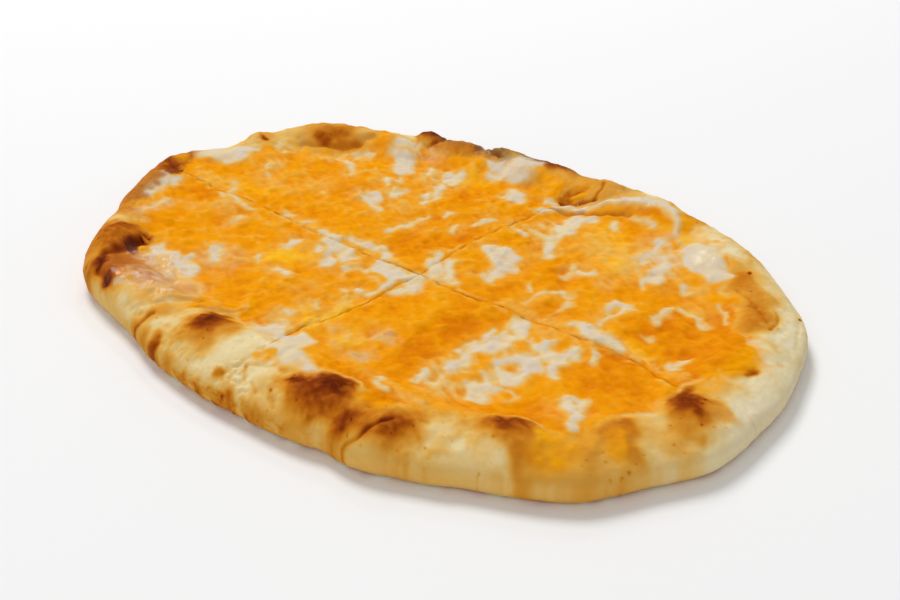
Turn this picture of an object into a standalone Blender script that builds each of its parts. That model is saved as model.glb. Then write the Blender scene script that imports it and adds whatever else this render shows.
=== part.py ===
"""Cheese naan: an oval flatbread with a puffed, blistered rim, cut by two crossing cuts into
quarters that still lie together, each under its own piece of one melted cheese layer.

Lengths inside the functions are millimetres, with the crossing of the cuts as the origin, +X along the
naan's length, +Y across it and +Z up. The bread stands on Z = 0. The finished quarters are moved so that
the middle of the whole naan's base is the origin, and are turned into metres.
"""

import math

import bmesh
import bpy
import numpy as np

MM = 0.001
QUARTER_TURN = math.pi / 2.0

# Driving sizes
NAAN_LENGTH = 238.0
NAAN_WIDTH = 173.0
FIELD_HEIGHT = 8.0
EDGE_TOP_HEIGHT = 5.5
EDGE_BASE_HEIGHT = 4.0
BASE_ROUNDING = 5.0
FIELD_SLOPE_WIDTH = 17.0
CUT_WIDTH = 0.8
CHEESE_CLEARANCE = 0.3
CHEESE_THICKNESS = 1.9
CHEESE_EDGE_THICKNESS = 0.8
CHEESE_THINNEST = 0.6
CHEESE_EDGE_TAPER = 6.0
CUT_DIP_DEPTH = 0.9
CUT_DIP_WIDTH = 3.0

# Round the naan, one value every 15 degrees from +X towards +Y: how far the outline swells out from an
# even oval, how far in the rim's crest lies, and how much bare crust the cheese leaves
OUTLINE_SWELL = (-6, 1, 10, 10, 10, 5, 1, 2, 1, 1, 8, 4, 6, 1, 2, 2, -3, -4, -5, -6, -5, -6, -3, -4)
CREST_INSET = (16, 15, 14, 13, 11, 10, 9, 9, 8, 9, 10, 8, 7, 8, 9, 10, 14, 17, 18, 18, 17, 17, 16, 16)
BARE_CRUST = (16, 13, 20, 14, 12, 7, 13, 12, 13, 7, 21, 10, 7, 8, 18, 8, 17, 22, 19, 17, 15, 16, 14, 19)

# How high the rim's crest stands, one value every 30 degrees from +X towards +Y
CREST_HEIGHT = (12, 12, 13, 13, 13, 13, 11, 13, 13, 13, 13, 13)

# Narrower swells and dents of the outline: direction in degrees, half width in degrees, how far out
OUTLINE_BUMPS = (
    (97, 7, 1.5),
    (131, 4, 1.5),
    (136, 4, -1.6),
    (145, 5, -1.2),
    (159, 6, 1.0),
    (171, 7, -3.5),
    (180, 5, 1.2),
    (353, 9, 2.6),
)

# The four arms of the two cuts, from +X towards +Y: how far each strays to the left of its straight line
# as it goes out from the crossing, one value every 10 mm
CUT_STEP = 10.0
CUT_DRIFT = (
    (0.0, -0.6, 0.3, 2.8, 3.7, 4.1, 4.4, 6.0, 6.0, 2.6, 2.2, 4.7, 4.7),
    (0.0, 0.2, 1.0, 1.1, 0.1, -1.6, -2.2, -4.6, -7.6, -8.4, -8.4, -8.4, -8.4),
    (0.0, 0.8, 1.7, 2.9, 4.0, 3.3, 2.1, 2.8, 3.7, 5.6, 4.5, 4.7, 3.6),
    (0.0, -1.6, -1.0, -2.0, -3.6, -5.4, -2.0, -1.8, -1.9, -1.9, -1.9, -1.9, -1.9),
)

# Each quarter lies between the arm with its number and the next one
QUARTERS = {"back_right": 0, "back_left": 1, "front_left": 2, "front_right": 3}

# Puffs of the dough: x, y, half length, half width, direction in degrees, height
PUFFS = (
    (25.5, -67.0, 12.0, 9.0, 20.0, 2.2),
    (-23.0, -67.0, 12.0, 8.0, -60.0, 1.6),
    (49.0, -64.0, 11.0, 7.0, 75.0, 1.8),
    (40.0, -71.0, 7.0, 6.0, 70.0, 0.9),
    (75.0, -46.0, 12.0, 8.0, 0.0, 2.0),
    (95.0, -26.0, 9.0, 9.0, 0.0, 1.3),
    (103.0, -7.0, 9.0, 8.0, -20.0, 2.2),
    (92.0, 44.0, 18.0, 9.0, -48.0, 1.4),
    (63.0, 69.0, 12.0, 11.0, 0.0, 1.6),
    (-85.0, -52.0, 11.0, 8.0, -50.0, 2.4),
    (-71.0, -66.0, 12.0, 6.0, -30.0, 1.8),
    (-92.0, 50.0, 17.0, 9.0, 42.0, 2.6),
    (-111.0, 30.0, 6.0, 5.0, 60.0, 1.4),
    (-60.5, 71.0, 5.0, 4.5, 20.0, 3.6),
    (-46.0, 74.0, 10.0, 6.0, 18.0, 1.5),
    (-32.5, 78.0, 6.0, 5.0, 10.0, 1.5),
    (-15.0, 82.0, 12.0, 4.0, 0.0, 0.8),
)
PUFF_REACH = 1.3

# The back right quarter's crust stands proud of its neighbour where the cut meets the rim
PROUD_QUARTER = "back_right"
PROUD_CORNER = (10.0, 84.0, 24.0, 14.0, 0.0, 1.4)

# The dough's slow unevenness: wavelength, direction in degrees, height
DOUGH_WAVES = ((47.0, 25.0, 0.30), (36.0, 100.0, 0.25), (29.0, 152.0, 0.20), (23.0, 66.0, 0.15))

# Grid of one quarter: columns from cut to cut, and rings outwards over the cheese and over the bare rim
COLUMNS = 32
CUT_COLUMN = 0.02
CHEESE_RINGS = 11
CHEESE_RING_SPREAD = 0.8
RIM_RINGS = 9
RIM_RING_CROWDING = 1.7
PLACING_ROUNDS = 4

# Looks
BREAD_COLOUR = (0.62, 0.38, 0.16)
BREAD_ROUGHNESS = 0.6
CHEESE_COLOUR = (0.88, 0.32, 0.02)
CHEESE_ROUGHNESS = 0.35
SHARP_ANGLE = math.radians(50.0)

# Mesh tolerances
SAME_POINT = 0.01 * MM
FLAT_ANGLE = math.radians(0.1)


def eased(low, high, value):
    """Rises smoothly from 0 at low to 1 at high."""
    share = np.clip((value - low) / (high - low), 0.0, 1.0)
    return share * share * (3.0 - 2.0 * share)


def smooth_curve(values, place, mode):
    """Reads evenly spaced values at a place between them, along a smooth curve through them all."""
    first = np.floor(place).astype(int)
    before, start, end, after = (np.take(values, first + step, mode=mode) for step in (-1, 0, 1, 2))
    share = place - first
    return 0.5 * (
        2.0 * start
        + (end - before) * share
        + (2.0 * before - 5.0 * start + 4.0 * end - after) * share**2
        + (3.0 * (start - end) + after - before) * share**3
    )


def round_the_naan(values, angle):
    """Reads one of the lists that go round the naan, at an angle."""
    return smooth_curve(values, np.mod(angle / math.tau, 1.0) * len(values), "wrap")


def outline_distance(angle):
    """Distance from the crossing to the naan's outline."""
    distance = 1.0 / np.hypot(np.cos(angle) * 2.0 / NAAN_LENGTH, np.sin(angle) * 2.0 / NAAN_WIDTH)
    distance = distance + round_the_naan(OUTLINE_SWELL, angle)
    for degrees, half_width, height in OUTLINE_BUMPS:
        away = np.abs(np.mod(np.degrees(angle) - degrees + 180.0, 360.0) - 180.0)
        distance = distance + height * (1.0 - eased(0.0, half_width, away))
    return distance


def cheese_distance(angle):
    """Distance from the crossing to the cheese's edge."""
    return outline_distance(angle) - round_the_naan(BARE_CRUST, angle)


def arm_angle(arm, distance):
    """Direction from the crossing to a cut arm's point at a distance."""
    far = np.maximum(distance, 1.0)
    drift = smooth_curve(CUT_DRIFT[arm % len(CUT_DRIFT)], far / CUT_STEP, "clip")
    return arm * QUARTER_TURN + drift / far


def within(x, y, feature):
    """Falls smoothly from 1 at a feature's middle to 0 outside it."""
    centre_x, centre_y, half_length, half_width, degrees = feature[:5]
    turn = math.radians(degrees)
    along = (x - centre_x) * math.cos(turn) + (y - centre_y) * math.sin(turn)
    across = (y - centre_y) * math.cos(turn) - (x - centre_x) * math.sin(turn)
    return 1.0 - eased(0.0, PUFF_REACH, np.hypot(along / half_length, across / half_width))


def bread_top(quarter, x, y):
    """Height of the dough's upper skin: a round edge, the rim's crest, and a slope down to the field."""
    angle = np.arctan2(y, x)
    inward = np.maximum(outline_distance(angle) - np.hypot(x, y), 0.0)
    inset = round_the_naan(CREST_INSET, angle)
    crest = round_the_naan(CREST_HEIGHT, angle)
    still_to_go = 1.0 - np.minimum(inward / inset, 1.0)
    height = EDGE_TOP_HEIGHT + (crest - EDGE_TOP_HEIGHT) * np.sqrt(1.0 - still_to_go**2)
    height += (FIELD_HEIGHT - crest) * eased(inset, inset + FIELD_SLOPE_WIDTH, inward)
    for feature in PUFFS:
        height += feature[5] * within(x, y, feature)
    for length, degrees, swing in DOUGH_WAVES:
        along = x * math.cos(math.radians(degrees)) + y * math.sin(math.radians(degrees))
        height += swing * np.sin(math.tau * along / length) * eased(0.0, inset, inward)
    if quarter == PROUD_QUARTER:
        height += PROUD_CORNER[5] * within(x, y, PROUD_CORNER)
    return height


def bread_base(x, y):
    """Height of the dough's underside, which is flat and turns up at the outline."""
    inward = outline_distance(np.arctan2(y, x)) - np.hypot(x, y)
    still_to_go = np.clip(1.0 - inward / BASE_ROUNDING, 0.0, 1.0)
    return EDGE_BASE_HEIGHT * (1.0 - np.sqrt(1.0 - still_to_go**2))


def cheese_depth(quarter, x, y):
    """Thickness of the melted cheese, thinner at its edge and pressed down along the cuts."""
    distance, angle = np.hypot(x, y), np.arctan2(y, x)
    arms = (QUARTERS[quarter], QUARTERS[quarter] + 1)
    from_cuts = [np.abs(np.sin(angle - arm_angle(arm, distance))) * distance for arm in arms]
    dip = CUT_DIP_DEPTH * np.exp(-((np.minimum(*from_cuts) / CUT_DIP_WIDTH) ** 2))
    body = eased(0.0, CHEESE_EDGE_TAPER, cheese_distance(angle) - distance)
    depth = CHEESE_EDGE_THICKNESS + (CHEESE_THICKNESS - CHEESE_EDGE_THICKNESS) * body - dip
    return np.maximum(depth, CHEESE_THINNEST)


def bread_skins(quarter, x, y):
    """Heights of the dough's underside and of its upper skin."""
    return bread_base(x, y), bread_top(quarter, x, y)


def cheese_skins(quarter, x, y):
    """Heights of the cheese's underside, just clear of the dough, and of its upper skin."""
    base = bread_top(quarter, x, y) + CHEESE_CLEARANCE
    return base, base + cheese_depth(quarter, x, y)


def quarter_points(quarter, share, ring):
    """x and y over a quarter: share runs from its first cut to its second, and ring from 0 at the
    crossing through 1 at the cheese's edge to 2 at the outline."""
    first = QUARTERS[quarter]
    angle = (first + share) * QUARTER_TURN
    for _ in range(PLACING_ROUNDS):
        cheese = cheese_distance(angle)
        rim = outline_distance(angle) - cheese
        distance = cheese * np.minimum(ring, 1.0) + rim * np.maximum(ring - 1.0, 0.0)
        low, high = arm_angle(first, distance), arm_angle(first + 1, distance)
        angle = low + share * (high - low)
    return distance * np.cos(angle), distance * np.sin(angle)


def column_shares():
    """Where a quarter's columns lie between its cuts, with a close pair beside each cut."""
    even = np.linspace(0.0, 1.0, COLUMNS - 1)
    return np.sort(np.append(even, (CUT_COLUMN, 1.0 - CUT_COLUMN)))


def cheese_rings():
    """Rings from the crossing to the cheese's edge, closer together outwards."""
    return np.linspace(0.0, 1.0, CHEESE_RINGS + 1) ** CHEESE_RING_SPREAD


def bread_rings():
    """The cheese's rings and the bare rim's, crowded where the rim turns down."""
    rim = 2.0 - (1.0 - np.linspace(0.0, 1.0, RIM_RINGS + 1)[1:]) ** RIM_RING_CROWDING
    return np.append(cheese_rings(), rim)


def base_middle():
    """Middle of the box round the whole outline, seen from the crossing."""
    angle = np.linspace(0.0, math.tau, 3601)
    edge = outline_distance(angle)
    x, y = edge * np.cos(angle), edge * np.sin(angle)
    return (x.min() + x.max()) / 2.0, (y.min() + y.max()) / 2.0


def surface(name, colour, roughness):
    """A plain material for one piece."""
    material = bpy.data.materials.new(name)
    material.use_nodes = True
    shader = material.node_tree.nodes["Principled BSDF"]
    shader.inputs["Base Color"].default_value = (*colour, 1.0)
    shader.inputs["Roughness"].default_value = roughness
    shader.inputs["Metallic"].default_value = 0.0
    return material


def slab(name, quarter, rings, skins, material):
    """One closed piece of a quarter: a flat grid, thickened, with both faces laid on their skins."""
    shares = column_shares()
    mesh = bmesh.new()
    bmesh.ops.create_grid(mesh, x_segments=len(shares) - 1, y_segments=len(rings) - 1, size=1.0)
    bmesh.ops.triangulate(mesh, faces=mesh.faces[:], quad_method="FIXED")
    extruded = bmesh.ops.extrude_face_region(mesh, geom=mesh.faces[:])
    upper = {item for item in extruded["geom"] if isinstance(item, bmesh.types.BMVert)}

    vertices = list(mesh.verts)
    grid = np.array([vertex.co.xy for vertex in vertices])
    column, row = np.rint((grid + 1.0) / 2.0 * (len(shares) - 1, len(rings) - 1)).astype(int).T
    x, y = quarter_points(quarter, shares[column], rings[row])
    base, top = skins(quarter, x, y)
    height = np.where([vertex in upper for vertex in vertices], top, base)
    middle = base_middle()
    x += np.copysign(CUT_WIDTH / 2.0, x.mean()) - middle[0]
    y += np.copysign(CUT_WIDTH / 2.0, y.mean()) - middle[1]
    for vertex, place in zip(vertices, np.column_stack((x, y, height)) * MM):
        vertex.co = place

    bmesh.ops.remove_doubles(mesh, verts=mesh.verts[:], dist=SAME_POINT)
    bmesh.ops.recalc_face_normals(mesh, faces=mesh.faces[:])
    bmesh.ops.dissolve_limit(mesh, angle_limit=FLAT_ANGLE, verts=mesh.verts[:], edges=mesh.edges[:])
    bmesh.ops.triangulate(mesh, faces=mesh.faces[:])

    data = bpy.data.meshes.new(name)
    mesh.to_mesh(data)
    mesh.free()
    data.shade_smooth()
    data.set_sharp_from_angle(angle=SHARP_ANGLE)
    data.materials.append(material)
    return bpy.data.objects.new(name, data)


def build_naan():
    """Makes the bread and the cheese of every quarter."""
    collection = bpy.data.collections.new("cheese_naan")
    bpy.context.scene.collection.children.link(collection)
    for quarter in QUARTERS:
        bread_name, cheese_name = f"naan_{quarter}", f"cheese_{quarter}"
        bread_look = surface(bread_name, BREAD_COLOUR, BREAD_ROUGHNESS)
        cheese_look = surface(cheese_name, CHEESE_COLOUR, CHEESE_ROUGHNESS)
        collection.objects.link(slab(bread_name, quarter, bread_rings(), bread_skins, bread_look))
        collection.objects.link(slab(cheese_name, quarter, cheese_rings(), cheese_skins, cheese_look))


for leftover in list(bpy.data.objects):
    bpy.data.objects.remove(leftover)
build_naan()
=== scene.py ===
"""Looks of the cheese naan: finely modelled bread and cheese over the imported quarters, and a plain studio.

Shapes and painted fields are worked out in millimetres, with the crossing of the cuts as the origin, +X
along the naan's length, +Y towards the back and +Z up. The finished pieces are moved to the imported
model's frame.
"""

import math

import bmesh
import bpy
import numpy as np
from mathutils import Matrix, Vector


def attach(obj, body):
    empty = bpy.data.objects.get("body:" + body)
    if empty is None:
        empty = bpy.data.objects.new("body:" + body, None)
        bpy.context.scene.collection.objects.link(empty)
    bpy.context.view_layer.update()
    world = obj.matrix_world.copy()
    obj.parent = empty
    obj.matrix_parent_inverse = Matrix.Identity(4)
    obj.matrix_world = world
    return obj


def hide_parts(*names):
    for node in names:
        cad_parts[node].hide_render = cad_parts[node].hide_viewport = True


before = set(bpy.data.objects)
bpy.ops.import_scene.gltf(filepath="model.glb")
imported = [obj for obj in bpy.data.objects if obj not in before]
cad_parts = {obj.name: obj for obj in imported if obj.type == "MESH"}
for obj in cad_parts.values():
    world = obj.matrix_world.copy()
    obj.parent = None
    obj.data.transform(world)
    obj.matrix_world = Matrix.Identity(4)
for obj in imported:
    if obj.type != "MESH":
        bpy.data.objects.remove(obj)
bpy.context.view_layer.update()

MM = 0.001
QUARTER_TURN = math.pi / 2.0

# Sizes of the bread, as in the part's source
NAAN_LENGTH = 238.0
NAAN_WIDTH = 173.0
FIELD_HEIGHT = 8.0
EDGE_TOP_HEIGHT = 5.5
EDGE_BASE_HEIGHT = 4.0
BASE_ROUNDING = 5.0
FIELD_SLOPE_WIDTH = 17.0
OUTLINE_SWELL = (-6, 1, 10, 10, 10, 5, 1, 2, 1, 1, 8, 4, 6, 1, 2, 2, -3, -4, -5, -6, -5, -6, -3, -4)
CREST_INSET = (16, 15, 14, 13, 11, 10, 9, 9, 8, 9, 10, 8, 7, 8, 9, 10, 14, 17, 18, 18, 17, 17, 16, 16)
CREST_HEIGHT = (12, 12, 13, 13, 13, 13, 11, 13, 13, 13, 13, 13)
OUTLINE_BUMPS = (
    (97, 7, 1.5),
    (131, 4, 1.5),
    (136, 4, -1.6),
    (145, 5, -1.2),
    (159, 6, 1.0),
    (171, 7, -3.5),
    (180, 5, 1.2),
    (353, 9, 2.6),
)
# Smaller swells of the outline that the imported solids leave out, one value every 5 degrees
FINER_OUTLINE = (
    3.9, 3, 2.2, 1.4, 0.6, 0.3, -0.3, -0.9, -0.1, 1.2, 1.4, 0.5, 0, 0.2, 2.8, 1.7, 0.9, 2.2, 0.9, 2, 0.7,
    0.7, 2.2, -0.5, -0.3, 1.2, 2, 2.3, -0.5, 0, 0.4, 1.6, 0.9, 1.4, 0.7, 1.5, 1.6, 1.2, 0.7, 0.8, -1, 0,
    1.1, 2.1, 1.8, -0.6, -1.9, -1.8, -1, -0.2, -0.4, -0.6, -0.8, -0.7, -1.3, -1.2, -0.9, -0.9, -1.5, -2.6,
    -0.7, -0.2, -0.2, -0.3, -1.7, -1.8, -1.1, 0.3, -0.2, -0.3, 0.2, 2.1,
)
CUT_STEP = 10.0
CUT_DRIFT = (
    (0.0, -0.6, 0.3, 2.8, 3.7, 4.1, 4.4, 6.0, 6.0, 2.6, 2.2, 4.7, 4.7),
    (0.0, 0.2, 1.0, 1.1, 0.1, -1.6, -2.2, -4.6, -7.6, -8.4, -8.4, -8.4, -8.4),
    (0.0, 0.8, 1.7, 2.9, 4.0, 3.3, 2.1, 2.8, 3.7, 5.6, 4.5, 4.7, 3.6),
    (0.0, -1.6, -1.0, -2.0, -3.6, -5.4, -2.0, -1.8, -1.9, -1.9, -1.9, -1.9, -1.9),
)
QUARTERS = {"back_right": 0, "back_left": 1, "front_left": 2, "front_right": 3}
PUFFS = (
    (25.5, -67.0, 12.0, 9.0, 20.0, 2.2),
    (-23.0, -67.0, 12.0, 8.0, -60.0, 1.6),
    (49.0, -64.0, 11.0, 7.0, 75.0, 1.8),
    (40.0, -71.0, 7.0, 6.0, 70.0, 0.9),
    (75.0, -46.0, 12.0, 8.0, 0.0, 2.0),
    (95.0, -26.0, 9.0, 9.0, 0.0, 1.3),
    (103.0, -7.0, 9.0, 8.0, -20.0, 2.2),
    (92.0, 44.0, 18.0, 9.0, -48.0, 1.4),
    (63.0, 69.0, 12.0, 11.0, 0.0, 1.6),
    (-85.0, -52.0, 11.0, 8.0, -50.0, 2.4),
    (-71.0, -66.0, 12.0, 6.0, -30.0, 1.8),
    (-92.0, 50.0, 17.0, 9.0, 42.0, 2.6),
    (-111.0, 30.0, 6.0, 5.0, 60.0, 1.4),
    (-60.5, 71.0, 5.0, 4.5, 20.0, 3.6),
    (-46.0, 74.0, 10.0, 6.0, 18.0, 1.5),
    (-32.5, 78.0, 6.0, 5.0, 10.0, 1.5),
    (-15.0, 82.0, 12.0, 4.0, 0.0, 0.8),
)
PUFF_REACH = 1.3
PROUD_QUARTER = "back_right"
PROUD_CORNER = (10.0, 84.0, 24.0, 14.0, 0.0, 1.4)
DOUGH_WAVES = ((47.0, 25.0, 0.30), (36.0, 100.0, 0.25), (29.0, 152.0, 0.20), (23.0, 66.0, 0.15))
PLACING_ROUNDS = 5

# The cheese's ragged edge: direction in degrees, and how much bare crust it leaves there
CHEESE_MARGIN = (
    (0, 14), (2, 11), (5, 12), (8, 12.5), (10, 8), (14, 7), (15, 9), (17, 12), (22, 18), (28, 19), (34, 20),
    (40, 16), (46, 12), (50, 11), (52, 16), (56, 12), (60, 8), (64, 6), (69, 4.5), (73, 7), (77, 13),
    (79, 18), (82, 18), (88, 17), (92, 12), (97, 10), (101, 5), (106, 4), (109, 9), (113, 12), (118, 12),
    (122, 11), (128, 12), (132, 13), (135, 7), (138, 3), (141, 5), (143, 14), (146, 18), (150, 21),
    (154, 22), (158, 18), (162, 16), (166, 12), (170, 5), (175, 3), (179, 7), (183, 9), (187, 8),
    (190, 7.5), (195, 9), (200, 12), (204, 14), (208, 17), (211, 20), (214, 16), (220, 10), (226, 7),
    (237, 7), (239, 17), (242, 13), (244, 23), (251, 24), (254, 25), (258, 26), (262, 26), (267, 24),
    (269, 17), (272, 15), (278, 17), (286, 17), (293, 19), (298, 17), (301, 13), (305, 13), (309, 15),
    (314, 15), (318, 19), (322, 19), (326, 21), (330, 17), (332, 13), (335, 13), (338, 11), (342, 15),
    (345, 20), (350, 18), (357, 18),
)
MARGIN_RIPPLE = 0.7
RIPPLED_MARGIN = (3.0, 9.0)
LEAST_MARGIN = 2.0
MEAN_MARGIN = 13.0

# The cheese's thickness, how it is pressed down along the cuts, and how far in from its edge each of these
# is whole, as the dough's relief is from the outline
CHEESE_BODY = 1.5
BODY_REACH = 12.0
LUMPS_REACH = 5.0
CUT_DIP_DEPTH = 0.26
CUT_DIP_WIDTH = 0.6
DIP_REACH = 4.0
THINNEST = 0.04
THINNEST_REACH = 3.0
RELIEF_REACH = 3.0

# Strokes of white cheese, spots of orange over them, and white over those: from x, y to x, y, half width
WHITE_STROKES = (
    (-120, 13, -108, 16, 7), (-112, 21, -106, 22, 4), (-118, 8, -109, 10, 2.5), (-59, 55, -54, 49, 4.2),
    (-66, 56, -60, 55, 1.8), (-51, 44, -49, 41, 1.6), (-80, 41, -71, 40, 1.2), (-71, 40, -65, 35, 1.1),
    (-76, 48, -72, 50, 1.8), (-49, 27, -46, 25, 3), (-44, 24, -39, 21, 1.3), (-43, 37, -42, 33, 2),
    (-66, 59, -62, 63, 3), (-71, 63, -66, 66, 2.4), (-87, 15, -86, 13, 1), (-65, 18, -63, 17, 1),
    (-101, 34, -97, 30, 1.4), (-27, 73, -18, 72, 6), (-25, 80, -18, 79.5, 4.5), (-28, 66, -24, 66, 2),
    (-11, 61, -9, 58, 3), (-14, 57, -14, 62, 1.6), (-39, 57, -35, 54, 3), (-37, 50, -34, 46, 1.8),
    (-36, 42, -32, 36, 2), (-45, 36, -43, 33, 1.2), (-24, 28, -26, 23, 1.1), (-26, 22, -27, 14, 1.5),
    (-13, 30, -12, 28, 1.2), (-6, 43, -8, 35, 1.4), (-20, 36, -20, 34, 1.2), (-1, 65, 3, 67, 2),
    (2, 58, 5, 63, 1.8), (-31, 1, -22, 2, 2), (-20, 4, -15, 1, 2), (-4, 12, -1, 8, 1.8),
    (14, 61, 17, 51, 4), (17, 63, 19, 65, 2.3), (16, 47, 20, 40, 2.8), (20, 38, 22, 36, 1.8),
    (4, 64.3, 10, 68.3, 1.8), (10, 68.3, 16, 72.2, 3.2), (15.5, 72.8, 20.3, 75.6, 3.4),
    (20.3, 76, 27.3, 79, 3.7), (27.3, 79, 34.4, 82.3, 3.7), (34.4, 82.3, 38.6, 80.8, 3.2),
    (39, 80, 44, 75.8, 2.6), (44, 75.8, 48, 70.5, 2), (26, 68, 29, 63, 1.6), (30, 72, 38, 71.5, 0.9),
    (45, 66, 47, 58, 2), (47, 57, 49, 50, 1.6), (54, 55, 56, 46, 3), (52, 59, 55, 50, 1.8),
    (54, 44, 56, 40, 1.6), (36, 35, 40, 36, 1.9), (33, 36, 35, 29, 1.3), (8, 28, 15, 27, 3.4),
    (13, 23, 18, 22, 3.8), (17, 18, 18, 12, 2.6), (2, 11, 9, 3, 2.3), (1, 6, 4, 3, 3.2),
    (8, 44.5, 17, 46, 0.9), (2, 43, 9, 41, 1.3), (35, 9, 35.5, 16, 1), (35.5, 16, 38.5, 21, 1.2),
    (38.5, 21, 44, 20, 1.5), (44, 19, 46, 16, 1.1), (56, 27, 60, 26, 2.6), (60, 25, 59, 14, 1.4),
    (55, 24, 57, 22, 1.2), (53, 8, 70, 8.3, 2.2), (53, 9.5, 60, 10.5, 2.2), (66, 50, 67, 47, 1.6),
    (43, 11, 45, 14, 1.4), (30, 17, 31, 15, 1), (72, 38, 78, 37, 1.3), (78, 37, 83, 33, 1.2),
    (69, 36, 70, 26, 1.1), (73, 18, 75, 17, 1.1), (82, 43, 87, 38, 0.8), (79, 46, 81, 44, 0.8),
    (60, 63, 70, 60, 5.5), (56, 66, 64, 67, 4.5), (85, 12, 89, 10, 1.2), (-112, -13, -105.5, -25, 3.8),
    (-108, -10, -106, -14, 1.8), (-98, -22, -95, -36, 1.1), (-84, -5.5, -78, -7.5, 1.5),
    (-76, -7.5, -72, -8, 0.9), (-92, 4, -86, -4, 0.9), (-70, -12, -70, -16, 0.9), (-45, -11, -43, -16, 2.4),
    (-47, -26, -44, -28, 1.4), (-59, -32, -54, -37, 2.4), (-74, -45, -56, -48, 3.8),
    (-62, -41, -60, -45, 1.8), (66, 3, 69, -3, 1), (-61, -1, -59, 0, 1.5), (-52, -1, -50, 0, 1.1),
    (-36, -5, -24, -7, 3.4), (-41, -2, -34, -3, 1.8), (-30, -9, -28, -13, 1.9), (-14, -4, -5, -5, 3.8),
    (-19, -12, -15, -9, 2.4), (-16, -12, -17, -15, 1.9), (-4, -8, -4, -18, 1.6), (-36, -28, -30, -28, 1.4),
    (-12, -22, -10, -23, 1.2), (-15, -42, -12, -42, 1.6), (-12, -34, -10, -35, 1.2),
    (-16, -54, -8, -56, 3.6), (-9, -58, -4, -60, 2.8), (0, -3, 3, -6, 3.8), (4, -8, 1, -12, 2.2),
    (0, -50, 4, -58, 4.4), (4, -58, 12, -61, 3.8), (10, -61, 20, -62, 2.4), (-1, -60, 8, -62, 3),
    (40, 0, 44, -4, 3.4), (44, -10, 42, -20, 4.4), (52, -6, 57, -8, 4.2), (54, -14, 58, -16, 4.2),
    (42, -24, 41, -30, 3), (51, -20, 57, -24, 4), (59, -5, 62, -9, 3.4), (50, -30, 55, -36, 3.8),
    (56, -31, 61, -30, 2.2), (41, -40, 42, -36, 2.2), (61, -2, 64, -4, 2.2), (59, -20, 60, -15, 2.4),
    (31, -50, 38, -55, 1.2), (76, -24, 82, -26, 2.6), (82, -27, 86, -34, 2.2), (78, -21, 82, -24, 1.8),
    (95, -17, 98, -15.5, 1.4), (17, 13, 13, 11, 2), (12, 10, 12, 2, 1.3), (38, -8, 38, -24, 1.6),
    (38, -38, 38, -43, 1.6), (86, 12, 89, 15, 1), (72, 18, 75, 17, 1), (-36, 60, -37, 54, 3),
    (-47, 58, -45, 53, 1.8), (-34, 48, -31, 40, 1.6), (-53, 39, -50, 36, 1.4), (-93, 19, -91, 18, 1),
    (-88, -6, -84, -8, 1), (-9, -12, -8, -19, 2), (-36, -10, -34, -11, 2), (-28, -12, -27, -15, 2.4),
    (-12, -50, -4, -54, 3.4),
)
ORANGE_STROKES = (
    (-9, 71, 1, 71, 4.2), (48, -9, 51, -11, 2.4), (45, -22, 47, -26, 2.8), (52, -21, 53, -20, 1.1),
    (46, -34, 48, -30, 2.4), (60, -32, 62, -35, 1.8), (57, 1, 58, -3, 2.4), (1, 22, 10, 15, 4.2),
    (-19, -1, -18, -8, 1.9), (-15, -14, -8, -15, 3.4), (42, 14, 41, 10, 3.2), (34, 74, 42, 74, 1.6),
    (13, 8, 19, 6, 3.2), (61, 55.5, 66, 52, 1.8), (48, -3, 50, -4, 1.4),
)
WHITE_OVER_ORANGE = (
    (62, -13, 65, -16, 2), (5, 26, 9, 24.5, 2.2),
)

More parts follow.
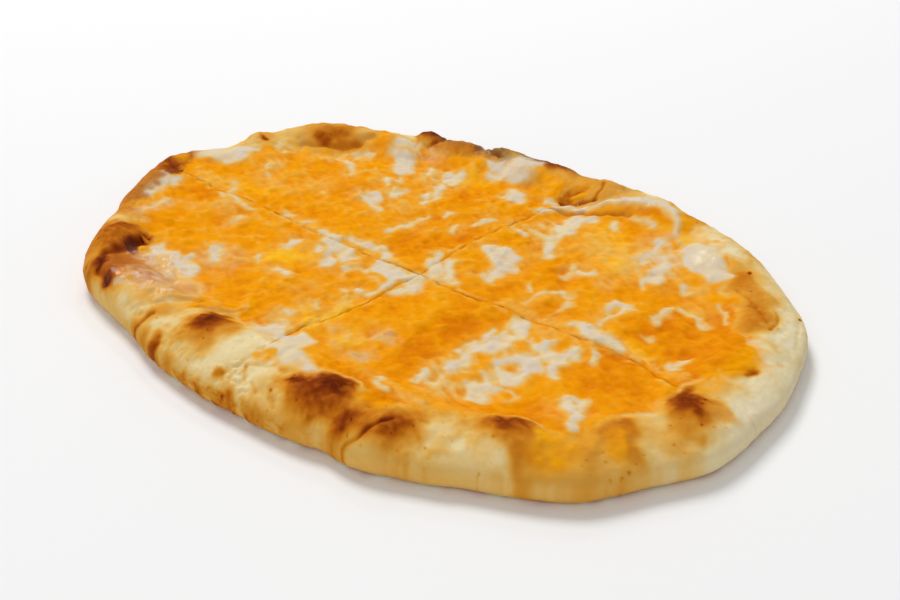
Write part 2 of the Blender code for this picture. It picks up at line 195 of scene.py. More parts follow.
# Soft pale fields in the cheese: x, y, half length, half width, degrees, how white
PALE_FIELDS = (
    (48, -20, 12, 24, 0, 0.6), (45, -34, 9, 10, 0, 0.62), (50, 55, 12, 15, 0, 0.6),
    (15, 55, 6, 13, -10, 0.55), (34, 34, 5, 6, 0, 0.5), (46, 34, 4, 6, 20, 0.35),
    (31, 51, 14, 8, -30, 0.34), (-77, 46, 10, 5, 45, 0.4), (-84, 37, 8, 4, 30, 0.35),
    (10, 50, 5, 6, -20, 0.5), (62, 50, 5, 8, 0, 0.4), (-40, 53, 11, 9, 0, 0.5), (-33, 42, 5, 8, 0, 0.45),
    (-44, 34, 5, 6, 0, 0.4), (-53, 38, 4, 4, 0, 0.35), (-62, 60, 8, 5, 0, 0.45), (-75, 46, 6, 5, 40, 0.5),
    (-68, 36, 8, 4, -40, 0.35), (-92, 20, 5, 8, 0, 0.4), (-82, 12, 10, 6, 0, 0.25),
    (-70, 22, 8, 8, 0, 0.25), (-12, 60, 6, 6, 0, 0.5), (-9, 40, 3, 8, 0, 0.3), (-50, 26, 8, 6, 0, 0.4),
    (-36, 28, 6, 5, 0, 0.3), (-24, 24, 4, 8, 0, 0.3), (-10, 30, 4, 5, 0, 0.25), (-80, -12, 8, 5, 0, 0.35),
    (-70, -16, 4, 7, 0, 0.35), (-88, -18, 4, 5, 0, 0.25), (-96, -28, 3, 11, -10, 0.4),
    (-45, -14, 5, 7, 0, 0.4), (-48, -28, 5, 5, 0, 0.35), (-57, -35, 7, 6, -40, 0.45),
    (-34, -28, 7, 4, 0, 0.35), (-30, -14, 12, 6, -20, 0.3), (-12, -36, 5, 5, 0, 0.35),
    (-14, -44, 6, 4, 0, 0.45), (-10, -57, 9, 11, 0, 0.95), (-6, -26, 3, 12, 0, 0.35),
    (16, -46, 6, 6, 0, 0.24), (13, -34, 5, 5, 0, 0.3), (-65, -48, 11, 6, 0, 0.5),
    (78, -28, 8, 8, -40, 0.35), (94, -12, 5, 8, 20, 0.1), (38, 12, 7, 9, 0, 0.25), (15, 22, 9, 11, 0, 0.4),
    (58, 20, 5, 10, 0, 0.35), (1, -39, 5, 4, 0, 0.35), (7, 26, 8, 6, 0, 0.5), (62, 4, 8, 4, 0, 0.4),
    (20, 40, 5, 7, -20, 0.4), (4, 44, 8, 4, 0, 0.3), (78, 40, 8, 5, -30, 0.3), (70, 50, 4, 6, 0, 0.3),
    (30, -52, 8, 4, -30, 0.25), (66, -48, 8, 4, -20, 0.25), (56, -44, 8, 5, -40, 0.14),
    (-20, -30, 6, 6, 0, 0.2), (8, -39, 4, 2.4, 0, 0.38), (8, -44, 4, 2.2, 0, 0.38),
    (38, -32, 5, 4, 0, 0.45), (39, -40.5, 4, 3, 0, 0.32), (33, -50, 6, 3, -20, 0.28),
    (42, -53, 6, 3, 0, 0.32), (51, -53, 6, 3, 0, 0.32),
)

# Orange that is yellower than the rest, and orange that is deeper: x, y, half length, half width, degrees
YELLOW_PLACES = (
    (35, 54, 16, 8, -25), (42, 46, 10, 6, -20), (-70, 63, 6, 3, -40), (-98, 36, 8, 4, 30),
    (-4, -32, 3.5, 16, 5), (70, 11, 14, 3, 0), (-40, -20, 12, 6, 30), (40, 72, 8, 2.5, 0),
    (52, 70, 4, 6, 0), (-30, 60, 8, 6, 0), (-62, -46, 10, 3, 0), (8, -40, 8, 6, 0), (-85, 4, 10, 6, 0),
    (84, -44, 5, 6, 0),
)
DEEP_PLACES = (
    (80, -6, 11, 14, 20), (82, 30, 13, 9, 0), (95, 9, 10, 8, 0), (0, 52, 5, 5, 0), (101, 16, 5, 6, 0),
    (61, -41, 6, 5, 0), (28, -56, 9, 5, 0), (41, -58, 5, 5, 0), (92, -18, 5, 5, 0), (72, 2, 8, 5, 0),
    (28, -20, 9, 28, 5), (38, 75, 10, 2.5, 5), (88, 22, 13, 14, 20), (70, 22, 8, 10, 0),
    (-15, 15, 10, 9, 0), (75, -35, 9, 6, -20), (-94, -10, 9, 4, 0), (30, 28, 8, 10, 0), (60, 46, 6, 5, 0),
    (-5, 25, 5, 12, 0), (86, 38, 10, 5, -40), (-24, 50, 8, 8, 0),
)

# Brown seen through the thin cheese: x, y, half length, half width, degrees, how brown
SEEN_THROUGH = (
    (-60, -59, 18, 11, -20, 0.64), (-72, -60, 9, 7, -50, 0.72), (-81, -47, 7, 3.6, -60, 0.78),
    (-64.5, -68, 3.4, 2.4, -30, 0.92), (-25, -59, 6, 4.6, 80, 0.86), (27, -60, 8, 3, 5, 0.95),
    (54, -58, 4, 3, 50, 0.6), (74, -42.5, 8, 3, 15, 0.75), (97.5, -1.5, 3.5, 8, 0, 0.9),
    (-81, 50, 7, 3, 55, 0.6), (-57, 69, 4, 3, 0, 0.7), (-22, 85, 12, 3.4, -4, 1),
    (-31, 80, 6, 3.4, 10, 0.5), (3, 72, 2.2, 5, 0, 0.62), (5, 77, 6, 2.6, 10, 0.6),
    (-42, 70, 6, 2, 10, 0.5), (-120, 3, 5, 5, 0, 0.5), (-116, -5, 6, 2.8, -51, 0.85),
    (-97, 33, 5, 2.5, 30, 0.45), (93, 40, 5, 7, 35, 0.4), (78, 54, 4, 4, -50, 0.5),
    (2.3, 68.8, 3, 2.4, 0, 0.7), (17, -33, 4, 2.6, 0, 0.44), (17.5, -43.5, 4.4, 2.6, 20, 0.46),
    (-9, 80, 6, 3, 0, 0.5), (-44, -60, 9, 7, -40, 0.53), (-46.5, -54, 7, 5, -30, 0.53),
)

# White film in streaks over the brown at the left: from x, y to x, y, half width
FILM_STREAKS = (
    (-60, -67, -52, -65.5, 2.1), (-66, -62, -59, -61, 1.1), (-64, -65, -57, -62, 1.1),
    (-62, -60, -58, -56, 1.1), (-68, -60, -63, -55, 1), (-58, -56, -53, -60, 1.6),
    (-54, -55, -50, -58, 1.3), (-48, -64, -42, -62, 1.6), (-44, -68, -39, -65, 1.6),
    (-51, -62, -47, -61, 1.1), (-76, -56, -74, -51, 0.9), (-74, -51, -66, -48, 1),
    (-74, -52, -60, -50, 2.4), (-65, -53, -56, -53, 2.2), (-62, -49, -54, -47, 2.6),
    (-58, -56, -54, -55, 1.6),
)

# Wet and shiny places: x, y, half length, half width, degrees, how wet
WET_PLACES = (
    (-58, -60, 17, 11, -20, 1), (-72, -50, 9, 5, 0, 0.8), (27, 78, 12, 4, 25, 0.4), (62, 64, 7, 5, 0, 0.4),
    (-22, 76, 6, 4, 0, 0.3), (-38, 77, 6, 4, 10, 0.5), (2, -55, 5, 5, 0, 0.3),
)

# Milky haze of thin cheese: x, y, half length, half width, degrees, how hazy
HAZY_PLACES = (
    (-55, -60, 10, 6, -18, 0.34), (-70, -51, 8, 4, 10, 0.34), (-46, -62, 6, 4, 0, 0.22),
    (-54, -36, 10, 8, -40, 0.22), (-96, -30, 3, 10, 0, 0.25), (-46, -56, 8, 7, -30, 0.26),
    (17, -33, 5, 3, 0, 0.3), (17.5, -43.5, 5, 3, 20, 0.3), (52, 58, 8, 12, 0, 0.2), (45, 66, 6, 6, 0, 0.2),
    (-54, 63, 6, 4, 10, 0.28), (115, 4, 7, 14, 0, 0.12), (-20, 72, 8, 6, 0, 0.15),
)
# Duller, darker crust, in part painted shade of the rim in shadow: x, y, half length, half width, degrees,
# how dull and shaded
DULL_AND_SHADED_PLACES = (
    (-48, 76, 13, 5, 15, 0.6), (-35, 77.5, 9, 5, 5, 0.85), (-24, 82, 10, 2.6, -3, 0.7),
    (-44, 81, 4, 3, 15, 0.5), (-6, 84, 8, 3, -4, 0.35), (18, 84, 6, 3, 40, 0.3), (-112, -9, 4, 6, 0, 0.2),
    (-110, -22, 5, 13, 15, 0.34), (-13, 71, 6, 4, 0, 0.2), (14, -44, 6, 4, 0, 0.12),
)

# Bare crust, one value every 15 degrees: how toasted it is on top, and how toasted low on its side
TOAST_ON_TOP = (
    0.05, 0.05, 0.1, 0.36, 0.3, 0.42, 0.5, 0.54, 0.48, 0.46, 0.44, 0.3, 0.72, 0.6, 0.46, 0.24, 0.2, 0.2,
    0.19, 0.26, 0.34, 0.34, 0.32, 0.18,
)
TOAST_BELOW = (
    0.05, 0.05, 0.12, 0.22, 0.38, 0.5, 0.56, 0.6, 0.6, 0.6, 0.6, 0.6, 0.66, 0.62, 0.54, 0.3, 0.4, 0.5, 0.56,
    0.45, 0.36, 0.34, 0.24, 0.08,
)

# Toasted places of the crust, and two painted highlights on the back rim: x, y, half length, half width,
# degrees, how toasted
TOASTED_AND_HIGHLIT = (
    (113, 2, 9, 20, 0, 0), (25, -70, 14, 11, 5, 0.62), (25, -66, 11, 7, 5, 0.86), (28, -62.5, 6, 3, 0, 1),
    (17, -67, 3, 2.5, 0, 0.95), (43, -68, 6, 8, 0, 0.64), (38.5, -71, 6, 6, 0, 0.72),
    (38.5, -70, 3.4, 3.2, 0, 0.86), (52, -62.5, 12, 6, 75, 0.68), (50.5, -64.5, 5, 3.4, 75, 0.8),
    (73, -45.5, 11, 5.4, 18, 0.74), (75, -45, 7, 3.2, 15, 0.88), (82, -51, 8, 3, -48, 0.6),
    (95, -41.5, 8, 2.8, -48, 0.62), (95, -25, 6, 8, -20, 0.64), (95, -23, 3, 3, 0, 0.7),
    (103, -6, 11, 9, -30, 0.66), (101.5, -3.6, 8, 7, -30, 0.92), (109, -1, 6, 3, 20, 0.5),
    (105, 20, 2, 3.2, 0, 0.95), (-17, -71, 6, 5, -80, 0.44), (-21, -67, 8.5, 8, 85, 0.6),
    (-22.5, -63.5, 8, 5.6, 78, 0.93), (-88, -53, 13, 7, 72, 0.6), (-82, -56, 13, 6, -38, 0.7),
    (-67, -66, 9, 4.4, -25, 0.78), (-88, -48, 8, 2.8, 80, 0.8), (-79, -49, 6, 3, -62, 0.92),
    (-64.5, -68.6, 3.4, 2.2, -30, 0.9), (-88, -61, 6, 4, -60, 0.62), (-113, -9, 5, 5, 0, 0.9),
    (-109.5, -18, 3.6, 8, 0, 0.74), (-107.5, -28, 3.6, 7, 0, 0.66), (-102, -38, 4, 7, 30, 0.6),
    (-95, 49, 16, 10, 42, 0.5), (-88, 50, 9, 5, 45, 0.66), (-92, 45, 3, 2, 40, 0.76),
    (-80, 56, 5, 5, 40, 0.36), (-104, 40, 6, 5, 40, 0.34), (-61, 72, 4.6, 4.2, 20, 1),
    # The pale spots at (-47, 75.5) and (-39, 78) on the dark back rim are painted highlights
    (-46, 73, 11, 6, 15, 0.64), (-47, 75.5, 4, 2, 15, 0.36), (-39, 78, 4, 2, 15, 0.32),
    (-54, 78, 12, 2.4, 15, 0.84), (-40, 76, 2, 4, 0, 0.84), (-31, 80, 6, 5, 10, 0.5),
    (-19, 85, 16, 4.4, -4, 1.08), (-14, 80, 4, 3.5, 5, 0.92), (-30, 84, 6, 3, 20, 0.76),
    (-110, 33, 5, 6, 60, 0.46), (-112, 35, 1.4, 1.8, 0, 0.85), (-107, 30, 1.8, 1.6, 0, 0.9),
    (-118, -14, 7, 12, 20, 0.66), (-116, -5, 7, 3.4, -51, 0.95), (10, 80, 14, 8, 0, 0.48),
    (5, 72, 3, 5, 0, 0.78), (2.3, -80.5, 3, 2.5, 0, 0.72), (12.4, -80, 5, 2.5, 10, 0.7),
    (44, 83, 5, 8, -60, 0.62), (84, 57, 17, 8, -45, 0.52), (77, 60, 8, 4, -50, 0.64),
    (92, 45, 10, 6, -60, 0.6), (94, 39, 5, 6, 10, 0.62), (77.5, 65, 0.9, 1.1, 0, 1),
    (100, 56.5, 0.8, 0.8, 0, 0.9), (104, 35, 1.5, 2.5, 0, 0.3), (111, -13, 1.5, 1.9, 0, 0.58),
    (103, -16, 1.8, 1, -40, 0.62), (105, -19, 1.6, 0.9, -40, 0.5), (-4, -77, 1.8, 1.4, 0, 0.62),
    (-33, -78, 5, 2.4, 10, 0.65), (-45, -76, 5, 2.2, 15, 0.6), (10, -66, 2, 1.6, 0, 0.5),
    (33, -77, 6, 4, 0, 0.27), (48, -73.5, 7, 4, 20, 0.3), (15, -75, 6, 4, 0, 0.28),
    (-20, -77, 6, 3, 0, 0.3), (-40, -69.5, 8, 4.4, 40, 0.5), (90, -43, 13, 8, 40, 0.54),
    (106, -19, 9, 7, 30, 0.4), (105, 9, 7, 4, 60, 0.34), (41, -61, 4, 5, 0, 0.64),
    (-76, -65.5, 5, 3.6, -30, 0.82), (-80, -67.5, 6, 3, -40, 0.62), (-39, -78, 3, 2.5, 10, 0.56),
    (-31.5, -79, 2.2, 2.6, 0, 0.82), (-26, -81, 6, 1.8, 5, 0.6), (94, -29, 6, 6, 0, 0.62),
    (-96.5, -44, 3, 3.4, 0, 0.26), (-118, -4, 8, 5, -51, 0.86), (-113, -20, 4, 8, 10, 0.62),
    (72, -60, 8, 4, 35, 0.22), (59.5, -57.5, 5, 4, 0, 0.22), (67, 71, 6, 4, -30, 0.04),
    (88, 63, 7, 5, -45, 0.22), (-14, -63, 4, 4, 0, 0.56), (101.5, 16.5, 3, 3.6, 20, 0.68),
    (83, -48, 5, 4, 0, 0.62), (106, -14, 5, 3.6, -40, 0.56), (-60.5, -72, 4, 2.2, -30, 0.34),
    (-62, 73, 5, 4, 20, 1.04), (-9, 76, 8, 4, 0, 0.5), (106, -31, 4, 6, -30, 0.32),
    (101, -30, 5, 4, -48, 0.6), (105, -38, 3.4, 4, 0, 0.52), (95, -45, 8, 4, 45, 0.44),
)

# Pale places of the crust, which are all as pale: x, y, half length, half width, degrees
PALE_PLACES = (
    (-8, -68, 7, 11, 0), (8, -69, 8, 6, 0), (20, -76, 5, 3, 0), (68, -58, 4, 3, 20), (107, 18, 8, 24, 0),
    (-115, 15, 6, 9, 20), (60, 72, 10, 7, -20), (-36, -72, 5, 4, 0), (-25, 80, 5, 6, 0), (-68, 66, 4, 3, 0),
    (98, -14, 7, 4, 0), (-121, 37, 5, 7, 20), (28, 84, 5, 6, 0), (80, -53, 6, 2.5, 15),
    (-53, -70, 6, 2.5, -15), (85, 68, 12, 5, -35), (-60, -73.5, 8, 3, -15), (-51, -75.5, 5, 2.6, -10),
    (-66, -73, 4, 3, -30),
)
PALE_TOAST = 0.10

# Orange fat and small drops of cheese on the crust: x, y, half length, half width, degrees, how orange
ORANGE_ON_CRUST = (
    (103, 25, 4.4, 4.6, 0, 1), (1, -66.3, 2.2, 2.2, 20, 1), (2.2, -63.6, 1.2, 1.8, -30, 1),
    (-76.5, -48, 3, 2, -40, 1), (109, 30, 1.2, 1.6, 0, 0.5), (87.5, -44, 8, 6.5, 35, 0.8),
    (97, -31, 7, 4, -48, 0.7), (43, 84, 4, 8, 30, 0.6), (43, -62, 4, 5, 10, 0.35),
    (7, 72.8, 4, 1.4, 25, 0.9), (-32, -73.4, 3, 1.5, 0, 0.35), (-75, 65, 6, 3.5, -20, 0.8),
    (-121, 2, 4, 4, 0, 0.7), (5, 77, 6, 3, 0, 0.6), (-18.5, -57, 3, 4.5, -50, 1), (100, 8, 3.5, 6, 0, 0.8),
    (101.5, 16, 3.4, 4, 20, 0.85), (50, 76, 4, 5, -40, 0.5), (-10, 74, 8, 3, 0, 0.5),
)

# Ridges and folds: points, half width, height
RIDGES = (
    (((4, 64), (10, 68), (16.4, 72), (21, 74.5), (25.5, 76.3), (30, 78.8), (35, 81), (40, 79), (44, 75.5),
      (47.5, 70.5)), 3.4, 1.5),
    (((60, 63), (68, 62)), 7, 0.5),
    (((-1, -52), (4, -58), (12, -61)), 5, 0.15),
    (((-27, 74), (-16, 74)), 6, 0.2),
    (((62, 9.5), (72, 9), (80, 8), (88, 5)), 2, 0.5),
    (((-70, 64), (-64, 61), (-58, 58)), 1.5, 0.4),
    (((-84, -8), (-78, -9), (-72, -9)), 1.2, 0.35),
)

# Creases: points, half width, depth, how much browner; the browning is in part painted shade in the crease
CREASES = (
    (((-96, 38), (-90, 43), (-84, 47), (-79, 52), (-77, 57)), 1.1, 1, 0.08),
    (((-83, -42), (-80, -48), (-77.5, -55), (-78, -62), (-73, -68), (-66, -70)), 1.5, 1.6, 0.22),
    (((-92, -55), (-89, -48), (-88, -42)), 1.2, 0.5, 0.08),
    (((-1, -62), (-0.6, -68), (-1, -72), (-2.6, -75), (-2, -77)), 0.7, 0.5, 0.06),
    (((1.2, -71), (2, -73), (4, -75)), 0.6, 0.6, 0.2),
    (((1, -71), (4, -69), (7, -67)), 0.6, 0.45, 0.08),
    (((7, -74), (10, -75.5)), 0.6, 0.5, 0.15),
    (((13, -73), (15, -75), (18, -76)), 0.7, 0.6, 0.15),
    (((-57, -75), (-52, -73), (-46, -73)), 0.9, 0.6, 0.1),
    (((-66, -76), (-60, -75)), 0.8, 0.5, 0.1),
    (((96, 51), (99, 46), (99, 41)), 0.6, 0.5, 0.18),
    (((88, 48), (94, 45), (99, 42)), 0.6, 0.3, 0.08),
    (((80, 54), (86, 51), (90, 48)), 0.6, 0.35, 0.1),
    (((79, 63), (86, 60), (93, 57)), 0.9, 0.4, 0.06),
    (((96, 62), (103, 52), (108, 42)), 1, 0.35, 0.05),
    (((40.6, -79.4), (42.5, -75.8), (44.1, -73.3), (45.8, -69.5), (47.3, -65.5),
      (48.7, -62.5)), 0.6, 0.55, 0.26),
    (((12, 74), (12, 78), (10.5, 82)), 0.7, 0.6, 0.2),
    (((-37, 82), (-36, 77), (-33, 74), (-29, 75)), 0.7, 1, 0.32),
    (((-56, 76), (-55, 71), (-58, 66)), 0.7, 0.7, 0.16),
    (((3, 61.5), (11, 65), (20, 69.5), (28, 72.5)), 0.8, 0.9, 0.3),
    (((3, 67.5), (9, 71), (13, 74)), 0.7, 0.6, 0.25),
    (((-45, -77), (-42.2, -73.9), (-41.2, -71)), 0.8, 0.7, 0.24),
    (((-80, -52), (-75, -53), (-69, -50.5)), 0.7, 0.6, 0.2),
    (((62, 13), (68, 12), (74, 9.5), (80, 7.5)), 0.5, 0.5, 0.1),
    (((0, 46), (6, 44), (10, 44)), 0.5, 0.35, 0.1),
    (((-60, 62), (-62, 66), (-66, 68)), 0.5, 0.4, 0.1),
)

# Places where the crust sinks in, or swells: x, y, half length, half width, degrees, height
NOTCHES = (
    (-117, -4, 6, 2.5, 10, -1.6), (-60.5, 71, 3.4, 3.2, 20, -1.4), (-39, 76, 2, 6, 0, -0.9),
    (-72, -62, 7, 5, -50, -1.2), (-63, -69, 3, 2, -30, -0.8), (-87, -50, 7, 4, 78, 0.9),
    (-1, -66.5, 2.2, 2.2, 0, 0.35), (9.8, -71.5, 5, 3.6, 10, 0.7), (18, -71, 4, 3, 30, 0.5),
    (-7, -73, 4, 4, 0, 0.4), (-53, -69.5, 6, 3, 0, 0.5),
)

# Crust with small bumps: x, y, half length, half width, degrees, how bumpy
BUMPY_PLACES = (
    (2, -76, 14, 6, 0, 0.34), (-24, -77, 10, 5, -5, 0.2), (-52, -72, 12, 5, -18, 0.22),
    (14, -72, 7, 6, 0, 0.26), (-88, -54, 10, 8, -45, 0.16), (30, -72, 10, 7, 0, 0.14),
    (-40, 76, 16, 5, 12, 0.2), (96, 46, 10, 8, -45, 0.14),
)

# Bubbled, crinkled cheese beside the cuts: from x, y to x, y, half width
BUBBLED = (
    (30, 5.2, 54, 6.5, 1.6), (56, 8, 78, 9, 2.6), (82, 8, 92, 6, 2), (-62, -1, -44, -3, 2.4),
    (-104, -2, -95, -3, 2.8), (-92, -1, -88, -2, 1.6), (-24, 0, -12, 1, 1.8), (8, 0.5, 18, 1.5, 1.2),
    (-6, -24, -4, -44, 1.6), (-4, 14, -1, 20, 1.6),
)

# How clearly each arm of the cuts shows on the bare crust, how wide the cuts' line of painted shade and their
# groove are, and where the cheese's raised lip stands beside them
CUT_ON_CRUST = (0.25, 0.5, 0.9, 0.12)
CUT_SHADE_WIDTH = 0.28
CUT_GROOVE_WIDTH = 0.8
LIP_PLACE = 1.2
LIP_WIDTH = 0.8

# Grid that the painted fields are worked out on
GRID_STEP = 0.25
GRID_X = np.arange(-134.0, 122.0, GRID_STEP)
GRID_Y = np.arange(-92.0, 98.0, GRID_STEP)
FAR_OUTSIDE = -6.0
PAINTED = ("white", "tone", "toast_and_painted_light", "cover", "haze", "dull_and_shade", "cut", "wet")

# How far inside its outline, in millimetres, each kind of cheese begins and is whole, and how far inside
# an orange spot a pale field begins to fade and is gone
WHITE_EDGE = (-1.2, 1.5)
HALO_EDGE = (-3.6, 0.0)
FILM_EDGE = (-0.9, 0.9)
COVER_EDGE = (-2.6, 2.6)
BUBBLED_EDGE = (-1.0, 1.0)
PALE_NEAR_ORANGE = (2.0, -0.6)

# How white the smaller things in the cheese are, how yellow or deep, and how high or sunken
HALO_WHITE = 0.26
# The lip's whiteness is in part a painted highlight along its raised edge
LIP_WHITE_AND_HIGHLIGHT = 0.28
BUBBLED_WHITE = 0.24
SHRED_WHITE = 0.20
FLECK_WHITE = 0.18
DEEP_CLEARING = 0.65
YELLOW_TONE = 1.6
DEEP_TONE = -1.0
DROP_TONE = 0.8
LIP_TONE = 0.9
BUBBLED_TONE = 0.6
WHITE_HEIGHT = 0.012
BUBBLE_HEIGHT = 0.09
FILM_HEIGHT = 0.05
LIP_HEIGHT = 0.08
DROP_HEIGHT = 0.25
GROOVE_DEPTH = 0.4

# How browned crust shows through thin cheese and as specks, how much darker the crust is made in the hollows
# between bumps and paler on their tops, and how far creases bare it, with browning that is in part painted
# shade
THROUGH_CHEESE = (0.08, 0.5)
FILM_COVER = 0.72
SPECK_TOAST = 0.30
HOLLOW_DARKENING = 0.16
CREASE_BARING = 1.5

# Smooth noise: seed and wavelength, and for shreds of cheese how stretched they are and their direction
CLOUDS = {
    "fine": (1, 1.3), "small": (2, 2.6), "medium": (3, 6.0), "broad": (4, 16.0), "bubbles": (11, 1.5),
    "side": (12, 5.0), "fine_side": (13, 2.0), "seam": (26, 5.0), "specks": (27, 1.8), "bumps": (28, 3.4),
}
SHREDS = {"shred_a": (5, 2.6, 3.2, -28.0), "shred_b": (6, 2.6, 3.2, 18.0), "shred_c": (7, 2.6, 3.2, 62.0)}

# How far painted shapes are moved about, which makes their outlines uneven: swing, seed for x with the next
# one for y, and wavelength
LOOSE_WOBBLE = ((0.5, 20, 8.0), (0.08, 22, 3.0))
CLOSE_WOBBLE = ((0.3, 24, 6.0),)

# How strongly each noise counts in what it makes uneven
MIXES = {
    "white edge": {"small": 0.12, "fine": 0.03, "medium": 0.22},
    "pale": {"shred_a": 0.22, "medium": 0.16, "small": 0.10},
    "tone": {"shred_a": 0.14, "shred_b": 0.10, "shred_c": 0.10, "broad": 0.25, "medium": 0.16, "fine": 0.05},
    "film edge": {"small": 0.3, "fine": 0.15},
    "toast_and_painted_light": {"medium": 0.045, "small": 0.03, "broad": 0.05, "fine": 0.012},
    "burnt": {"small": 0.03, "fine": 0.008},
    "cheese edge": {"medium": 0.9, "small": 0.4},
    "drops": {"small": 0.05, "medium": 0.12},
    "haze": {"shred_a": 0.3, "small": 0.2, "fine": 0.1},
    "dull_and_shade": {"small": 0.12, "fine": 0.08},
    "dough": {"medium": 0.13, "small": 0.05, "fine": 0.01},
    "lumps": {
        "shred_a": 0.009, "shred_b": 0.009, "shred_c": 0.009, "medium": 0.08, "small": 0.014, "fine": 0.004,
    },
}

# How fine the pieces are, and how wide the cuts stand open
CHEESE_CELLS = 208
CHEESE_UNDER_STEP = 8
CHEESE_SINK = 0.2
BREAD_COLUMNS = 340
HIDDEN_RINGS = 20
HIDDEN_DROP = 0.8
HIDDEN_REACH = (1.5, 6.0)
BAND_INSIDE = 13.0
BAND_RINGS = 76
BAND_CROWDING = 1.5
SIDE_RINGS = 3
UNDER_RINGS = 26
UNDER_CROWDING = 2.6
HALF_GAP = 0.01
SHARP_ANGLE = math.radians(55.0)
SAME_POINT = 1e-6

# The bread's side: where it counts as low, how its noise runs round the naan, where its toast is uneven, how
# much of each painted field fades out low on it, and how strongly the painted shade of the cuts' slits shows
# on bread
LOW_HEIGHT = (10.0, 5.0)
LOW_INWARD = (6.0, 1.5)
SIDE_PACE = 95.0
SIDE_LENGTH = 240.0
UNEVEN_TOAST = (0.28, 0.60)
LOW_FADING = {"cover": 0.7, "wet": 0.8, "haze": 0.8, "dull_and_shade": 0.8}
CUT_SHADE_ON_BREAD = 0.7

# Where the bread's side swells: from and up to which heights, how far in, and its share where even
SWELL_FROM = (0.3, 2.0)
SWELL_UP_TO = (11.0, 4.0)
SWELL_INWARD = (5.0, 0.5)
EVEN_SWELL = 0.25

# The bread's foot, which is browner, and its underside
FOOT_HEIGHT = 1.5
FOOT_INWARD = (6.0, 3.0)
FOOT_TOAST = 0.15
UNDER_TOAST = 0.34
UNDER_INWARD = 0.5

# How strongly the finest relief shows on each
CHEESE_RELIEF = 0.35
DOUGH_RELIEF = 0.6

# Camera at the photograph's viewing angle: place and clip in metres, lens and sensor in millimetres
CAMERA_PLACE = (0.24539, -0.25623, 0.21727)
CAMERA_AIM = (-0.5674, 0.6302, -0.5299)
CAMERA_LENS = 52.0
CAMERA_SENSOR = 36.0
CAMERA_CLIP = 0.01

# Studio lamps, which all look at the origin: name, place and size in metres, power in watts
LAMPS = (
    ("key", (-1.8, 0.84, 2.7), 1.3, 63.0),
    ("fill", (0.6, -1.5, 1.5), 1.6, 8.0),
    ("glint", (-0.50, 0.52, 0.62), 0.1, 0.6),
)
FLOOR_REACH = 3.0
WORLD_COLOUR = (1.0, 1.0, 1.0, 1.0)
WORLD_STRENGTH = 0.42


def eased(low, high, value):
    """Rises smoothly from 0 at low to 1 at high."""
    share = ramped(low, high, value)
    return share * share * (3.0 - 2.0 * share)


def ramped(low, high, value):
    """Rises evenly from 0 at low to 1 at high."""
    return np.clip((value - low) / (high - low), 0.0, 1.0)


def smooth_curve(values, place, mode):
    """Reads evenly spaced values at a place between them, along a smooth curve through them all."""
    first = np.floor(place).astype(int)
    before, start, end, after = (np.take(values, first + step, mode=mode) for step in (-1, 0, 1, 2))
    share = place - first
    return 0.5 * (
        2.0 * start
        + (end - before) * share
        + (2.0 * before - 5.0 * start + 4.0 * end - after) * share**2
        + (3.0 * (start - end) + after - before) * share**3
    )


def round_the_naan(values, angle):
    """Reads one of the lists that go round the naan, at an angle."""
    return smooth_curve(values, np.mod(angle / math.tau, 1.0) * len(values), "wrap")


def bumps_at(angle, bumps):
    """How far the bumps of an outline swell it at an angle."""
    swell = np.zeros(np.shape(angle))
    for degrees, half_width, height in bumps:
        away = np.abs(np.mod(np.degrees(angle) - degrees + 180.0, 360.0) - 180.0)
        swell = swell + height * (1.0 - eased(0.0, half_width, away))
    return swell


def packed_distance(angle):
    """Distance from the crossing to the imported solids' outline."""
    distance = 1.0 / np.hypot(np.cos(angle) * 2.0 / NAAN_LENGTH, np.sin(angle) * 2.0 / NAAN_WIDTH)
    return distance + round_the_naan(OUTLINE_SWELL, angle) + bumps_at(angle, OUTLINE_BUMPS)


def outline_distance(angle):
    """Distance from the crossing to the naan's outline."""
    return packed_distance(angle) + round_the_naan(FINER_OUTLINE, angle)


def cheese_distance(angle):
    """Distance from the crossing to the cheese's ragged edge."""
    turn = np.mod(np.degrees(angle), 360.0)
    margin = np.interp(turn, *zip(*CHEESE_MARGIN), period=360.0)
    coarse = np.sin(angle * 41.0 + 2.0 * np.sin(angle * 13.0))
    fine = np.sin(angle * 97.0 + np.sin(angle * 29.0))
    margin = margin + MARGIN_RIPPLE * (coarse + 0.6 * fine) * eased(*RIPPLED_MARGIN, margin)
    return packed_distance(angle) - np.maximum(margin, LEAST_MARGIN)


def even_towards_middle(angle, ring):
    """Distance to the cheese's edge for a ring of its mesh: ragged for outer rings, even for inner ones."""
    ragged = ring**6
    return (packed_distance(angle) - MEAN_MARGIN) * (1.0 - ragged) + cheese_distance(angle) * ragged


def arm_angle(arm, distance):
    """Direction from the crossing to a cut arm's point at a distance."""
    far = np.maximum(distance, 1.0)
    drift = smooth_curve(CUT_DRIFT[arm % len(CUT_DRIFT)], far / CUT_STEP, "clip")
    return arm * QUARTER_TURN + drift / far


def cut_distance(x, y):
    """Distance from the nearest cut, seen from above."""
    angle, distance = np.arctan2(y, x), np.hypot(x, y)
    nearest = np.full(np.shape(x), np.inf)
    for arm in range(len(CUT_DRIFT)):
        turn = angle - arm_angle(arm, distance)
        away = np.where(np.cos(turn) > 0.0, np.abs(np.sin(turn)) * distance, distance)
        nearest = np.minimum(nearest, away)
    return nearest


def oval(x, y, feature):
    """Distance from a feature's middle, as a share of its own half sizes."""
    centre_x, centre_y, half_length, half_width, degrees = feature[:5]
    turn = math.radians(degrees)
    along = (x - centre_x) * math.cos(turn) + (y - centre_y) * math.sin(turn)
    across = (y - centre_y) * math.cos(turn) - (x - centre_x) * math.sin(turn)
    return np.hypot(along / half_length, across / half_width)


